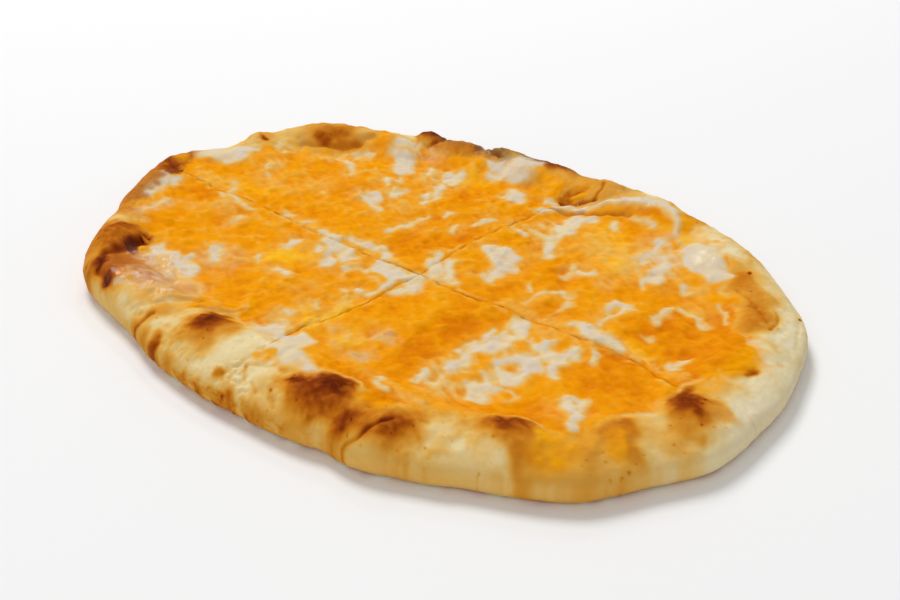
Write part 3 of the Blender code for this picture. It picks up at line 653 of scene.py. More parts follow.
def bread_top(quarter, x, y):
    """Height of the dough's upper skin: a round edge, the rim's crest, and a slope down to the field."""
    angle = np.arctan2(y, x)
    inward = np.maximum(outline_distance(angle) - np.hypot(x, y), 0.0)
    inset = round_the_naan(CREST_INSET, angle)
    crest = round_the_naan(CREST_HEIGHT, angle)
    still_to_go = 1.0 - np.minimum(inward / inset, 1.0)
    height = EDGE_TOP_HEIGHT + (crest - EDGE_TOP_HEIGHT) * np.sqrt(1.0 - still_to_go**2)
    height += (FIELD_HEIGHT - crest) * eased(inset, inset + FIELD_SLOPE_WIDTH, inward)
    for feature in PUFFS:
        height += feature[5] * (1.0 - eased(0.0, PUFF_REACH, oval(x, y, feature)))
    for length, degrees, swing in DOUGH_WAVES:
        along = x * math.cos(math.radians(degrees)) + y * math.sin(math.radians(degrees))
        height += swing * np.sin(math.tau * along / length) * eased(0.0, inset, inward)
    if quarter == PROUD_QUARTER:
        height += PROUD_CORNER[5] * (1.0 - eased(0.0, PUFF_REACH, oval(x, y, PROUD_CORNER)))
    return height


def bread_base(x, y):
    """Height of the dough's underside, which is flat and turns up at the outline."""
    inward = outline_distance(np.arctan2(y, x)) - np.hypot(x, y)
    still_to_go = np.clip(1.0 - inward / BASE_ROUNDING, 0.0, 1.0)
    return EDGE_BASE_HEIGHT * (1.0 - np.sqrt(1.0 - still_to_go**2))


def base_middle():
    """Middle of the box round the whole outline, seen from the crossing."""
    angle = np.linspace(0.0, math.tau, 3601)
    edge = packed_distance(angle)
    x, y = edge * np.cos(angle), edge * np.sin(angle)
    return (x.min() + x.max()) / 2.0, (y.min() + y.max()) / 2.0


def cloud(seed, wavelength, stretch=1.0, degrees=0.0):
    """Smooth seeded noise on the grid, longer along one direction where stretched."""
    rows, columns = len(GRID_Y), len(GRID_X)
    noise = np.fft.rfft2(np.random.default_rng(seed).standard_normal((rows, columns)))
    down = np.fft.fftfreq(rows, GRID_STEP)[:, None]
    across = np.fft.rfftfreq(columns, GRID_STEP)[None, :]
    turn = math.radians(degrees)
    lengthwise = (across * math.cos(turn) + down * math.sin(turn)) * wavelength * stretch
    sideways = (down * math.cos(turn) - across * math.sin(turn)) * wavelength
    pitch = lengthwise**2 + sideways**2
    field = np.fft.irfft2(noise * np.exp(-0.8 * pitch) * (1.0 - np.exp(-6.0 * pitch)), s=(rows, columns))
    return field / field.std()


def window(low_x, low_y, high_x, high_y, reach):
    """The part of the grid within reach of a box, as slices."""
    columns = slice(*np.searchsorted(GRID_X, (low_x - reach, high_x + reach)))
    rows = slice(*np.searchsorted(GRID_Y, (low_y - reach, high_y + reach)))
    return rows, columns


def line_distance(x, y, points):
    """Distance from a line through points."""
    nearest = np.full(x.shape, np.inf)
    for (start_x, start_y), (end_x, end_y) in zip(points[:-1], points[1:]):
        run_x, run_y = end_x - start_x, end_y - start_y
        along = ((x - start_x) * run_x + (y - start_y) * run_y) / (run_x**2 + run_y**2)
        along = np.clip(along, 0.0, 1.0)
        nearest = np.minimum(nearest, np.hypot(x - start_x - along * run_x, y - start_y - along * run_y))
    return nearest


class Ground:
    """The grid's places, their distances from the edges and the cuts, and the noise that the fields share."""

    def __init__(self):
        self.x, self.y = np.meshgrid(GRID_X, GRID_Y)
        self.angle, distance = np.arctan2(self.y, self.x), np.hypot(self.x, self.y)
        self.inward = outline_distance(self.angle) - distance
        self.edge_in = cheese_distance(self.angle) - distance
        self.from_cut = cut_distance(self.x, self.y)
        self.noise = {name: cloud(*settings) for name, settings in (CLOUDS | SHREDS).items()}
        self.loose = self.wobbled(LOOSE_WOBBLE)
        self.close = self.wobbled(CLOSE_WOBBLE)
        self.rough = 1.0 - 0.8 * np.clip(self.lines(RIDGES, lambda sizes: 1.0, self.close), 0.0, 1.0)

    def wobbled(self, swings):
        """The grid's places, moved about a little."""
        x, y = self.x, self.y
        for swing, seed, wavelength in swings:
            x = x + swing * cloud(seed, wavelength)
            y = y + swing * cloud(seed + 1, wavelength)
        return x, y

    def mix(self, name):
        """One of the mixes of noise."""
        return sum(strength * self.noise[part] for part, strength in MIXES[name].items())

    def strokes(self, rows):
        """How far inside the nearest stroke each place is, in millimetres."""
        inside = np.full(self.x.shape, FAR_OUTSIDE)
        for start_x, start_y, end_x, end_y, half_width in rows:
            box = min(start_x, end_x), min(start_y, end_y), max(start_x, end_x), max(start_y, end_y)
            place = window(*box, half_width - FAR_OUTSIDE)
            x, y = (axis[place] for axis in self.loose)
            away = line_distance(x, y, ((start_x, start_y), (end_x, end_y)))
            inside[place] = np.maximum(inside[place], half_width - away)
        return inside

    def ovals(self, rows, soft=0.85, value=None, over=0.0, places=None):
        """Moves a field towards each oval's own value, or towards one value for all, with soft edges."""
        field = np.zeros(self.x.shape) + over
        for feature in rows:
            place = window(feature[0], feature[1], feature[0], feature[1], 1.8 * max(feature[2:4]) + 3.0)
            x, y = (axis[place] for axis in places or self.loose)
            share = 1.0 - eased(1.0 - soft, 1.0 + 0.6 * soft, oval(x, y, feature))
            target = feature[5] if value is None else value
            field[place] += (target - field[place]) * share
        return field

    def lines(self, rows, gain, places):
        """Ridges or creases: each line's gain falls off smoothly to its sides."""
        field = np.zeros(self.x.shape)
        for points, half_width, *sizes in rows:
            xs, ys = zip(*points)
            place = window(min(xs), min(ys), max(xs), max(ys), 3.0 * half_width + 2.0)
            x, y = (axis[place] for axis in places)
            field[place] += gain(sizes) * np.exp(-((line_distance(x, y, points) / half_width) ** 2))
        return field


def cut_fields(ground):
    """How clearly each cut crosses the crust, the line of painted shade along the cuts' narrow slits, and the
    cheese's lip beside them.
    """
    arm = np.mod(np.round(ground.angle / QUARTER_TURN).astype(int), len(CUT_DRIFT))
    on_crust = np.take(CUT_ON_CRUST, arm)
    seam = ground.noise["seam"]
    # A thin dark line of painted shade, where the cuts' narrow slits are in shadow
    line = np.exp(-((ground.from_cut / CUT_SHADE_WIDTH) ** 2)) * np.clip(0.6 + 0.4 * seam, 0.1, 1.0)
    line *= on_crust + (1.0 - on_crust) * eased(-3.0, 1.0, ground.edge_in)
    lip = np.exp(-(((ground.from_cut - LIP_PLACE) / LIP_WIDTH) ** 2)) * eased(-0.4, 1.4, seam)
    return on_crust, line, lip


def marbling(ground, bubbled, lip):
    """How white the cheese is: strokes with a halo, soft pale fields, and noise between them."""
    noise, rough = ground.noise, ground.rough
    orange = ground.strokes(ORANGE_STROKES)
    inside = np.minimum(ground.strokes(WHITE_STROKES), -orange)
    inside = np.maximum(inside, ground.strokes(WHITE_OVER_ORANGE)) + ground.mix("white edge") * rough
    pale = ground.ovals(PALE_FIELDS, 0.95) * np.clip(0.95 + ground.mix("pale"), 0.3, 1.3)
    pale *= np.maximum(ramped(*PALE_NEAR_ORANGE, orange), 0.15)
    milky = 0.4 + 0.6 * eased(30.0, -20.0, ground.x)
    halo = HALO_WHITE * ramped(*HALO_EDGE, inside) * np.clip(0.75 + 0.35 * noise["shred_b"], 0.2, 1.0)
    white = ramped(*WHITE_EDGE, inside) * np.clip(0.95 + 0.07 * noise["medium"] * rough, 0.7, 1.0)
    longest = np.maximum.reduce([noise[name] for name in SHREDS])
    faint = SHRED_WHITE * np.clip(longest - 0.8, 0.0, 1.3)
    faint += FLECK_WHITE * np.clip(noise["medium"] - 0.9, 0.0, 1.2)
    faint *= eased(-1.2, 1.0, noise["broad"])
    soft = np.maximum.reduce((halo * milky, pale, faint * milky))
    soft *= 1.0 - DEEP_CLEARING * ground.ovals(DEEP_PLACES, 0.9, 1.0)
    wrinkled = bubbled * np.clip(BUBBLED_WHITE + 0.10 * noise["bubbles"], 0.0, 0.5)
    # The lip's whiteness is in part a painted highlight along its raised edge
    return np.maximum.reduce((white, soft, wrinkled, LIP_WHITE_AND_HIGHLIGHT * lip))


def orange_tone(ground, bubbled, lip):
    """How yellow the orange cheese is, or how deep where it is below 0."""
    tone = ground.mix("tone") + LIP_TONE * lip + BUBBLED_TONE * bubbled
    tone += ground.ovals(YELLOW_PLACES, 0.9, YELLOW_TONE)
    return tone + ground.ovals(DEEP_PLACES, 0.9, DEEP_TONE)


def crust_toast(ground):
    """How toasted the bare crust is, with two painted highlights on the back rim."""
    toast_and_painted_light = round_the_naan(TOAST_ON_TOP, ground.angle) + ground.mix("toast_and_painted_light")
    toast_and_painted_light = ground.ovals(PALE_PLACES, value=PALE_TOAST, over=toast_and_painted_light)
    toast_and_painted_light = ground.ovals(TOASTED_AND_HIGHLIT, over=toast_and_painted_light)
    toast_and_painted_light += ground.mix("burnt") * eased(0.45, 0.8, toast_and_painted_light)
    return toast_and_painted_light + SPECK_TOAST * np.clip(ground.noise["specks"] - 2.2, 0.0, 0.9)


def painted_fields():
    """Works out every painted and raised field on the grid."""
    ground = Ground()
    noise, rough, edge_in = ground.noise, ground.rough, ground.edge_in
    # cut is a thin line of painted shade along the cuts' narrow slits
    on_crust, cut, lip = cut_fields(ground)
    bubbled = eased(*BUBBLED_EDGE, ground.strokes(BUBBLED) + 0.3 * noise["small"])
    film = ramped(*FILM_EDGE, ground.strokes(FILM_STREAKS) + ground.mix("film edge"))
    film *= np.clip(0.8 + 0.15 * noise["medium"], 0.4, 1.0)
    drops = ground.ovals(ORANGE_ON_CRUST, 0.5) * np.clip(1.0 + ground.mix("drops"), 0.4, 1.2)
    dropped = np.clip(drops, 0.0, 1.0)

    white = np.maximum(marbling(ground, bubbled, lip), film) * (1.0 - 0.9 * dropped)
    tone = orange_tone(ground, bubbled, lip)
    tone += (DROP_TONE + 0.2 * noise["small"] - tone) * dropped
    through = ground.ovals(SEEN_THROUGH)
    cover = ramped(*COVER_EDGE, edge_in + ground.mix("cheese edge"))
    cover *= 1.0 - 0.96 * eased(*THROUGH_CHEESE, through)
    cover = np.maximum.reduce((cover, FILM_COVER * film, drops))
    wet = ground.ovals(WET_PLACES) + 0.10 * bubbled * white
    haze = ground.ovals(HAZY_PLACES) * np.clip(0.8 + ground.mix("haze"), 0.0, 1.6)
    # Duller, darker crust, in part painted shade of the rim in shadow
    dull_and_shade = ground.ovals(DULL_AND_SHADED_PLACES) * np.clip(0.95 + ground.mix("dull_and_shade"), 0.0, 1.2)

    # Creases bare the crust of cheese and brown it, which is in part painted shade in the crease
    creased = ground.lines(CREASES, lambda sizes: sizes[1], ground.close)
    cover -= CREASE_BARING * creased * (cover > 0.0)
    bumpy = ground.ovals(BUMPY_PLACES)
    bumps = np.abs(noise["bumps"]) - 0.8
    # The crust is browner along creases, in part painted shade, and darker in the hollows between bumps and
    # paler on their tops
    toast_and_painted_light = np.maximum(crust_toast(ground), through) + creased - HOLLOW_DARKENING * bumpy * bumps

    dough = ground.mix("dough") * rough + 0.16 * noise["broad"] * eased(0.0, 10.0, ground.inward)
    dough -= ground.lines(CREASES, lambda sizes: sizes[0], ground.close)
    dough += bumpy * bumps + DROP_HEIGHT * eased(0.5, 1.1, drops) * (edge_in < 0.0)
    groove = np.exp(-((ground.from_cut / CUT_GROOVE_WIDTH) ** 2)) * eased(2.0, -2.0, edge_in)
    dough = ground.ovals(NOTCHES, over=dough - GROOVE_DEPTH * on_crust * groove, places=ground.close)

    lumps = ground.mix("lumps") * rough + ground.lines(RIDGES, lambda sizes: sizes[0], ground.loose)
    lumps += WHITE_HEIGHT * (white - 0.5) + BUBBLE_HEIGHT * bubbled * np.abs(noise["bubbles"])
    lumps += FILM_HEIGHT * film * noise["small"] + LIP_HEIGHT * lip
    return {
        "white": white, "tone": tone, "toast_and_painted_light": toast_and_painted_light, "cover": np.clip(cover, 0.0, 1.0), "cut": cut,
        "haze": np.clip(haze, 0.0, 0.8), "dull_and_shade": np.clip(dull_and_shade, 0.0, 1.0), "wet": np.clip(wet, 0.0, 1.0),
        "dough": dough, "lumps": lumps, "side": noise["side"], "fine_side": noise["fine_side"],
    }


def read(name, x, y):
    """Reads a field at places between the grid's points."""
    field = FIELDS[name]
    column = np.clip((x - GRID_X[0]) / GRID_STEP, 0.0, len(GRID_X) - 1.001)
    row = np.clip((y - GRID_Y[0]) / GRID_STEP, 0.0, len(GRID_Y) - 1.001)
    left, low = column.astype(int), row.astype(int)
    right_share, up_share = column - left, row - low
    lower = field[low, left] * (1.0 - right_share) + field[low, left + 1] * right_share
    upper = field[low + 1, left] * (1.0 - right_share) + field[low + 1, left + 1] * right_share
    return lower * (1.0 - up_share) + upper * up_share


def dough_top(quarter, x, y):
    """Height of the dough's upper skin with its fine relief, which fades out at the outline."""
    inward = outline_distance(np.arctan2(y, x)) - np.hypot(x, y)
    return bread_top(quarter, x, y) + read("dough", x, y) * eased(0.0, RELIEF_REACH, inward)


def cheese_depth(x, y):
    """Thickness of the melted cheese: it thins out at its edge, and is pressed down along the cuts."""
    dip = CUT_DIP_DEPTH * np.exp(-((cut_distance(x, y) / CUT_DIP_WIDTH) ** 2))
    from_edge = np.maximum(cheese_distance(np.arctan2(y, x)) - np.hypot(x, y), 0.0)
    depth = CHEESE_BODY * eased(0.0, BODY_REACH, from_edge)
    depth += read("lumps", x, y) * eased(0.0, LUMPS_REACH, from_edge)
    depth = np.maximum(depth - dip * eased(0.0, DIP_REACH, from_edge), 0.0)
    return depth + THINNEST * (2.0 * eased(0.0, THINNEST_REACH, from_edge) - 1.0)


def quarter_points(quarter, share, distance_at):
    """x and y over a quarter: share runs from its first cut to its second."""
    first = QUARTERS[quarter]
    angle = (first + share) * QUARTER_TURN
    for _ in range(PLACING_ROUNDS):
        distance = distance_at(angle)
        low, high = arm_angle(first, distance), arm_angle(first + 1, distance)
        angle = low + share * (high - low)
    return distance * np.cos(angle), distance * np.sin(angle)


def open_cut(x, y):
    """Moves a quarter away from the crossing, so that the cuts stand open."""
    return x + math.copysign(HALF_GAP, x.mean()), y + math.copysign(HALF_GAP, y.mean())


def grid_faces(rows, columns, first=0):
    """Corners of the quads of a grid of points."""
    row, column = np.meshgrid(np.arange(rows - 1), np.arange(columns - 1), indexing="ij")
    start = first + (row * columns + column).ravel()
    return np.column_stack((start, start + 1, start + columns + 1, start + columns)).tolist()


def stitch(one, other, one_place, other_place):
    """Triangles between two rows of points that run the same way."""
    faces, i, j = [], 0, 0
    while i < len(one) - 1 or j < len(other) - 1:
        step_one = j == len(other) - 1 or (i < len(one) - 1 and one_place[i + 1] <= other_place[j + 1])
        if step_one:
            faces.append((one[i], one[i + 1], other[j]))
            i += 1
        else:
            faces.append((one[i], other[j + 1], other[j]))
            j += 1
    return faces


def make_piece(name, points, faces, fields, material):
    """Makes a mesh object from points in millimetres, with its painted fields as attributes."""
    data = bpy.data.meshes.new(name)
    data.from_pydata((points - (*MIDDLE, 0.0)) * MM, [], faces)
    for field, values in fields.items():
        data.attributes.new(field, "FLOAT", "POINT").data.foreach_set("value", values.astype(np.float32))
    mesh = bmesh.new()
    mesh.from_mesh(data)
    bmesh.ops.remove_doubles(mesh, verts=mesh.verts[:], dist=SAME_POINT)
    bmesh.ops.recalc_face_normals(mesh, faces=mesh.faces[:])
    for edge in mesh.edges:
        edge.smooth = edge.calc_face_angle(0.0) < SHARP_ANGLE
    mesh.to_mesh(data)
    mesh.free()
    data.shade_smooth()
    data.materials.append(material)
    piece = bpy.data.objects.new(name, data)
    bpy.context.scene.collection.objects.link(piece)
    return piece


def cheese_grid():
    """A square grid bent over a quarter: how far along the quarter each point is, and how far out."""
    steps = np.linspace(0.0, 1.0, CHEESE_CELLS + 1)
    v, u = (axis.ravel() for axis in np.meshgrid(steps, steps, indexing="ij"))
    with np.errstate(divide="ignore", invalid="ignore"):
        share = np.where(u >= v, 0.5 * v / u, 1.0 - 0.5 * u / v)
    ring = np.maximum(u, v)
    share[ring == 0.0] = 0.5
    return share, ring


def cheese_piece(quarter, material):
    """The melted cheese on one quarter: a fine upper face, a coarse lower one, and sides between them."""
    share, ring = cheese_grid()
    x, y = quarter_points(quarter, share, lambda angle: even_towards_middle(angle, ring) * ring)
    dough, depth = dough_top(quarter, x, y), cheese_depth(x, y)
    fields = {name: read(name, x, y) for name in PAINTED}
    x, y = open_cut(x, y)

    number = np.arange(ring.size).reshape(CHEESE_CELLS + 1, -1)
    kept = number[::CHEESE_UNDER_STEP, ::CHEESE_UNDER_STEP]
    low = number.size + np.arange(kept.size).reshape(kept.shape)
    top = np.column_stack((x, y, dough + depth))
    under = np.column_stack((x, y, dough - CHEESE_SINK))[kept.ravel()]
    faces = grid_faces(*number.shape) + grid_faces(*kept.shape, first=number.size)
    for side in ((0, slice(None)), (-1, slice(None)), (slice(None), 0), (slice(None), -1)):
        upper, lower = number[side], low[side]
        faces += stitch(upper, lower, np.arange(len(upper)), np.arange(len(lower)) * CHEESE_UNDER_STEP)
    fields = {name: np.append(values, values[kept.ravel()]) for name, values in fields.items()}
    return make_piece(f"melted_cheese_{quarter}", np.vstack((top, under)), faces, fields, material)


def band_start(angle):
    """Distance from the crossing to where the bread's mesh becomes fine, inside the cheese's edge."""
    return packed_distance(angle) - MEAN_MARGIN - BAND_INSIDE


def ring_points(quarter, to_band, to_outline):
    """x and y of a ring of the bread's mesh, from how far out it lies as shares of two distances."""
    share = np.linspace(0.0, 1.0, BREAD_COLUMNS)
    return quarter_points(
        quarter, share, lambda angle: outline_distance(angle) * to_outline + band_start(angle) * to_band
    )


def bread_rings(quarter):
    """Rings of points over the top and side of a quarter's bread, and more of them under it."""
    shares = [(step / HIDDEN_RINGS, 0.0) for step in range(HIDDEN_RINGS + 1)]
    for step in range(1, BAND_RINGS + 1):
        left = (1.0 - step / BAND_RINGS) ** BAND_CROWDING
        shares.append((left, 1.0 - left))
    top = []
    for to_band, to_outline in shares:
        x, y = ring_points(quarter, to_band, to_outline)
        under_cheese = cheese_distance(np.arctan2(y, x)) - np.hypot(x, y)
        top.append((x, y, dough_top(quarter, x, y) - HIDDEN_DROP * eased(*HIDDEN_REACH, under_cheese)))
    x, y = top[-1][:2]
    for step in range(1, SIDE_RINGS + 1):
        height = EDGE_TOP_HEIGHT + (EDGE_BASE_HEIGHT - EDGE_TOP_HEIGHT) * step / (SIDE_RINGS + 1)
        top.append((x, y, np.full_like(x, height)))
    under = []
    for step in range(UNDER_RINGS + 1):
        x, y = ring_points(quarter, 0.0, 1.0 - (step / UNDER_RINGS) ** UNDER_CROWDING)
        under.append((x, y, bread_base(x, y)))
    return top, under


def bread_looks(x, y, z, inward, is_under):
    """The bread's painted fields, its side and underside toasted in their own ways, and how it swells."""
    angle = np.arctan2(y, x)
    lowness = eased(*LOW_HEIGHT, z) * eased(*LOW_INWARD, inward)
    round_way = np.mod(angle * SIDE_PACE, SIDE_LENGTH) - SIDE_LENGTH / 2.0
    streaks = read("side", round_way, z * 0.8 - 60.0 + inward)
    specks = read("fine_side", round_way, z * 1.2 + 20.0 + inward)
    below = round_the_naan(TOAST_BELOW, angle)
    uneven = eased(*UNEVEN_TOAST, below)
    below = below + (0.12 * streaks + 0.06 * specks) * uneven

    fields = {name: read(name, x, y) for name in PAINTED}
    toast_and_painted_light = fields["toast_and_painted_light"] * (1.0 - lowness) + np.maximum(fields["toast_and_painted_light"], below) * lowness
    toast_and_painted_light += FOOT_TOAST * eased(FOOT_HEIGHT, 0.0, z) * eased(*FOOT_INWARD, inward)
    underneath = UNDER_TOAST + 0.16 * read("side", y, -x * 0.7) + 0.10 * read("fine_side", -y, x * 0.7)
    fields["toast_and_painted_light"] = np.where(is_under & (z < FOOT_HEIGHT), underneath, toast_and_painted_light)
    for name, fading in LOW_FADING.items():
        fields[name] = np.where(is_under, 0.0, fields[name] * (1.0 - fading * lowness))
    # The painted shade of the cuts' slits shows less strongly on bread
    fields["cut"] = fields["cut"] * CUT_SHADE_ON_BREAD

    swell = (0.20 * streaks + 0.08 * specks) * (EVEN_SWELL + (1.0 - EVEN_SWELL) * uneven)
    swell *= eased(*SWELL_FROM, z) * eased(*SWELL_UP_TO, z) * eased(*SWELL_INWARD, inward)
    return fields, swell


def bread_piece(quarter, material):
    """The bread of one quarter: coarse under the cheese, fine over the crust and side, and an underside."""
    top, under = bread_rings(quarter)
    top_rows = len(top)
    x, y, z = np.array(top + under).transpose(1, 0, 2)
    angle, distance = np.arctan2(y, x), np.hypot(x, y)
    inward = outline_distance(angle) - distance
    is_under = (np.arange(len(z)) >= top_rows)[:, None] & (inward > UNDER_INWARD)
    fields, swell = bread_looks(x, y, z, inward, is_under)
    x, y = open_cut(x + np.cos(angle) * swell, y + np.sin(angle) * swell)

    points = np.column_stack((x.ravel(), y.ravel(), np.maximum(z, 0.0).ravel()))
    number = np.arange(x.size).reshape(x.shape)
    faces = grid_faces(*number.shape)
    for column in (0, -1):
        along = distance[:, column]
        upper, lower = number[:top_rows, column], number[top_rows:, column][::-1]
        faces += stitch(upper, lower, along[:top_rows], along[top_rows:][::-1])
    fields = {name: values.ravel() for name, values in fields.items()}
    return make_piece(f"bread_{quarter}", points, faces, fields, material)


class Nodes:
    """Adds nodes to a material and links them, so that a look reads as one line for each step."""

    def __init__(self, name):
        self.material = bpy.data.materials.new(name)
        self.material.use_nodes = True
        self.tree = self.material.node_tree
        self.shader = self.tree.nodes["Principled BSDF"]
        self.place = self.add("ShaderNodeTexCoord").outputs["Object"]

    def add(self, kind, **settings):
        """A new node with its settings."""
        node = self.tree.nodes.new(kind)
        for name, value in settings.items():
            setattr(node, name, value)
        return node

    def put(self, socket, value):
        """Links a socket to another one, or gives it a plain value."""
        if isinstance(value, bpy.types.NodeSocket):
            self.tree.links.new(value, socket)
        else:
            socket.default_value = value

    def dress(self, surface):
        """Gives inputs of the shader their values, by name."""
        for name, value in surface.items():
            self.put(self.shader.inputs[name], value)

    def painted(self, name):
        """One of the painted fields."""
        return self.add("ShaderNodeAttribute", attribute_name=name).outputs["Fac"]

    def noise(self, size, detail, roughness):
        """Noise with features of a size in millimetres."""
        node = self.add("ShaderNodeTexNoise")
        self.put(node.inputs["Vector"], self.place)
        self.put(node.inputs["Scale"], 1.0 / (size * MM))
        self.put(node.inputs["Detail"], detail)
        self.put(node.inputs["Roughness"], roughness)
        return node.outputs["Fac"]

    def sum(self, operation, *values):
        """One operation of arithmetic."""
        node = self.add("ShaderNodeMath", operation=operation)
        for socket, value in zip(node.inputs, values):
            self.put(socket, value)
        return node.outputs[0]

    def grained(self, value, grain, strength):
        """A value made uneven by a grain, which swings about its middle of 0.5."""
        return self.sum("MULTIPLY_ADD", self.sum("SUBTRACT", grain, 0.5), strength, value)

    def spread(self, value, low, high):
        """Rises smoothly from 0 at low to 1 at high."""
        node = self.add("ShaderNodeMapRange", interpolation_type="SMOOTHSTEP")
        for name, given in (("Value", value), ("From Min", low), ("From Max", high)):
            self.put(node.inputs[name], given)
        return node.outputs["Result"]

    def clear(self, value, power):
        """Keeps a share between 0 and 1, and bends it so that a pale layer thins out evenly to the eye."""
        held = self.add("ShaderNodeClamp")
        self.put(held.inputs["Value"], value)
        return self.sum("POWER", held.outputs[0], power)

    def mix(self, share, one, other, blend="MIX"):
        """One colour where the share is 0, and the other where it is 1."""
        node = self.add("ShaderNodeMix", data_type="RGBA", blend_type=blend)
        self.put(node.inputs[0], share)
        self.put(node.inputs[6], one)
        self.put(node.inputs[7], other)
        return node.outputs[2]

    def ramp(self, share, stops):
        """A colour between the stops, which are places from 0 to 1 with their colours."""
        node = self.add("ShaderNodeValToRGB")
        elements = node.color_ramp.elements
        while len(elements) < len(stops):
            elements.new(0.5)
        for element, (position, colour) in zip(elements, stops):
            element.position = position
            element.color = colour
        self.put(node.inputs["Fac"], share)
        return node.outputs["Color"]

    def bump(self, height, size, strength, under=None):
        """Fine relief of a height in millimetres, over another one where given."""
        node = self.add("ShaderNodeBump")
        self.put(node.inputs["Height"], height)
        self.put(node.inputs["Distance"], size * MM)
        self.put(node.inputs["Strength"], strength)
        if under is not None:
            self.put(node.inputs["Normal"], under)
        return node.outputs["Normal"]


def paint(red, green, blue):
    """A colour as it looks on screen, turned into the shader's own numbers."""
    shown = np.array((red, green, blue)) / 255.0
    linear = np.where(shown <= 0.04045, shown / 12.92, ((shown + 0.055) / 1.055) ** 2.4)
    return (*linear.tolist(), 1.0)


# Colours of the crust from pale to burnt, and of the orange cheese from deep to yellow
CRUST_STOPS = (
    (0.0, paint(236, 222, 184)),
    (0.15, paint(232, 209, 154)),
    (0.32, paint(229, 184, 100)),
    (0.48, paint(220, 154, 54)),
    (0.62, paint(202, 122, 26)),
    (0.74, paint(172, 88, 16)),
    (0.86, paint(136, 57, 12)),
    (1.0, paint(94, 31, 6)),
)
ORANGE_STOPS = (
    (0.0, paint(222, 124, 0)),
    (0.35, paint(238, 149, 0)),
    (0.65, paint(243, 162, 6)),
    (1.0, paint(251, 187, 28)),
)
# Thin fat over pale and over browned crust, the cheese between orange and white, and the two whites
STAIN = paint(236, 176, 62)
DEEP_STAIN = paint(196, 112, 26)
BUTTER = paint(230, 182, 96)
CREAM = paint(227, 208, 168)
LILAC = paint(218, 202, 180)
# What the haze is tinted with, the colour of the duller crust, which is in part painted shade, and the
# painted shade in the cuts' slits
HAZE = paint(214, 184, 164)
DULL_AND_SHADE_TINT = paint(134, 104, 66)
CUT_SHADE = (0.60, 0.42, 0.24, 1.0)

# Grain of the surface: the size in millimetres, detail and roughness of its noise
CRUST_GRAIN = (1.1, 4.0, 0.6)
ORANGE_GRAIN = (1.6, 3.0, 0.5)
CREAM_GRAIN = (6.0, 3.0, 0.5)
SKIN_GRAIN = (3.4, 2.0, 0.5)
WET_GRAIN = (1.8, 3.0, 0.5)

# How strongly the grain shows in each painted field, and how high the finest relief is, in millimetres
GRAIN_SHOWS = {"toast_and_painted_light": 0.06, "white": 0.12, "cover": 0.16, "tone": 0.16}
SKIN_BUMP = 0.14
GRAIN_BUMP = 0.09
WET_BUMP = 0.35

# How a painted field is stretched, as gain and offset, and bent before one colour gives way to the next
TONE_STRETCH = (0.28, 0.42)
BUTTER_STRETCH = (2.0, 0.0)
BUTTER_BEND = 1.4
CREAM_STRETCH = (2.0, -0.9)
CREAM_BEND = 1.2
COVER_BEND = 0.8
THIN_BEND = 1.5
LILAC_RANGE = (0.35, 0.65)
DEEP_STAIN_RANGE = (0.42, 0.72)
WET_COAT = 0.8

# Inputs of the shader that are the same all over the naan, and those of the floor
NAAN_SURFACE = {
    "Roughness": 0.45, "IOR": 1.04,
    "Subsurface Weight": 0.1, "Subsurface Radius": (1.0, 0.55, 0.25), "Subsurface Scale": 1.0 * MM,
    "Coat Roughness": 0.07, "Coat IOR": 1.4,
}
FLOOR_SURFACE = {"Base Color": (0.92, 0.92, 0.92, 1.0), "Roughness": 0.9, "Specular IOR Level": 0.1}


def orange_colour(nodes):
    """Orange cheese, from deep to yellow."""
    tone = nodes.sum("MULTIPLY_ADD", nodes.painted("tone"), *TONE_STRETCH)
    return nodes.ramp(nodes.grained(tone, nodes.noise(*ORANGE_GRAIN), GRAIN_SHOWS["tone"]), ORANGE_STOPS)


def cheese_colour(nodes, grain):
    """Marbled cheese, which turns from orange to butter and then to cream as it becomes whiter."""
    white = nodes.grained(nodes.painted("white"), grain, GRAIN_SHOWS["white"])
    cream = nodes.mix(nodes.spread(nodes.noise(*CREAM_GRAIN), *LILAC_RANGE), CREAM, LILAC)
    some = nodes.clear(nodes.sum("MULTIPLY_ADD", white, *BUTTER_STRETCH), BUTTER_BEND)
    much = nodes.clear(nodes.sum("MULTIPLY_ADD", white, *CREAM_STRETCH), CREAM_BEND)
    return nodes.mix(much, nodes.mix(some, orange_colour(nodes), BUTTER), cream)


def crust_colour(nodes, grain):
    """Baked dough, from pale to burnt."""
    return nodes.ramp(nodes.grained(nodes.painted("toast_and_painted_light"), grain, GRAIN_SHOWS["toast_and_painted_light"]), CRUST_STOPS)


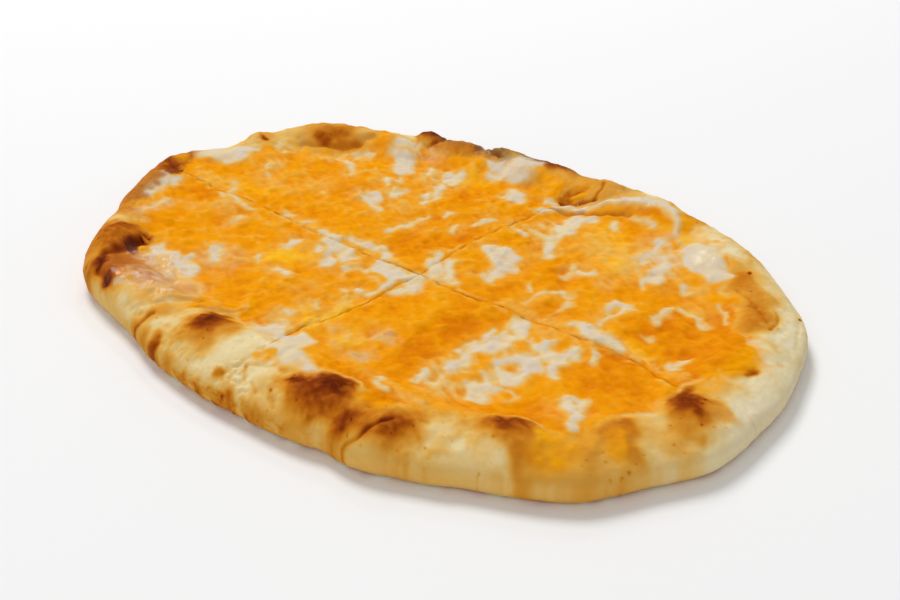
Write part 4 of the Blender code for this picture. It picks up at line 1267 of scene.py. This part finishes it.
def naan_look(name, relief):
    """Bread and cheese as one surface: baked dough, and over it marbled cheese that thins out at its edge."""
    nodes = Nodes(name)
    grain = nodes.noise(*CRUST_GRAIN)
    cover = nodes.clear(nodes.grained(nodes.painted("cover"), grain, GRAIN_SHOWS["cover"]), COVER_BEND)
    stain = nodes.mix(nodes.spread(nodes.painted("toast_and_painted_light"), *DEEP_STAIN_RANGE), STAIN, DEEP_STAIN)
    thin = nodes.mix(nodes.clear(cover, THIN_BEND), stain, cheese_colour(nodes, grain))
    colour = nodes.mix(cover, crust_colour(nodes, grain), thin)
    colour = nodes.mix(nodes.painted("haze"), colour, HAZE)
    # Duller, darker crust, in part painted shade of the rim in shadow
    colour = nodes.mix(nodes.painted("dull_and_shade"), colour, DULL_AND_SHADE_TINT)
    # Painted shade along the cuts' narrow slits
    colour = nodes.mix(nodes.painted("cut"), colour, CUT_SHADE, "MULTIPLY")
    skin = nodes.bump(nodes.noise(*SKIN_GRAIN), SKIN_BUMP, relief)
    skin = nodes.bump(grain, GRAIN_BUMP, relief, skin)
    wet = nodes.sum("MULTIPLY", nodes.painted("wet"), WET_COAT)
    ripples = nodes.bump(nodes.noise(*WET_GRAIN), WET_BUMP, 1.0, skin)
    nodes.dress({"Base Color": colour, "Normal": skin, "Coat Weight": wet, "Coat Normal": ripples})
    nodes.dress(NAAN_SURFACE)
    return nodes.material


def place_object(name, data, place=(0.0, 0.0, 0.0), aim=None):
    """Adds an object to the scene, turned so that a lamp or camera looks along its aim."""
    thing = bpy.data.objects.new(name, data)
    thing.location = place
    if aim is not None:
        thing.rotation_euler = Vector(aim).to_track_quat("-Z", "Y").to_euler()
    bpy.context.scene.collection.objects.link(thing)
    return thing


def pale_floor():
    """A wide plain floor under the naan."""
    data = bpy.data.meshes.new("floor")
    corners = [(x * FLOOR_REACH, y * FLOOR_REACH, 0.0) for x, y in ((-1, -1), (1, -1), (1, 1), (-1, 1))]
    data.from_pydata(corners, [], [(0, 1, 2, 3)])
    look = Nodes("pale_floor")
    look.dress(FLOOR_SURFACE)
    data.materials.append(look.material)
    floor = place_object("floor", data)


def studio():
    """A plain pale floor, soft light from above and behind, and the camera."""
    scene = bpy.context.scene
    scene.view_settings.view_transform = "Standard"
    scene.world = bpy.data.worlds.new("studio")
    scene.world.use_nodes = True
    background = scene.world.node_tree.nodes["Background"]
    background.inputs["Color"].default_value = WORLD_COLOUR
    background.inputs["Strength"].default_value = WORLD_STRENGTH
    pale_floor()
    for name, place, size, power in LAMPS:
        light = bpy.data.lights.new(name, "AREA")
        light.shape = "DISK"
        light.size = size
        light.energy = power
        place_object(name, light, place, -Vector(place))
    lens = bpy.data.cameras.new("camera")
    lens.sensor_width = CAMERA_SENSOR
    lens.lens = CAMERA_LENS
    lens.clip_start = CAMERA_CLIP
    scene.camera = place_object("camera", lens, CAMERA_PLACE, CAMERA_AIM)


def dress_naan():
    """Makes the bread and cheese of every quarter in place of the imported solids."""
    cheese, bread = naan_look("melted_cheese", CHEESE_RELIEF), naan_look("baked_dough", DOUGH_RELIEF)
    for quarter in QUARTERS:
        for piece, node in (
            (bread_piece(quarter, bread), f"naan_{quarter}"),
            (cheese_piece(quarter, cheese), f"cheese_{quarter}"),
        ):
            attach(piece, "root")
            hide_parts(node)


FIELDS = painted_fields()
MIDDLE = base_middle()

studio()
dress_naan()
bpy.context.view_layer.update()
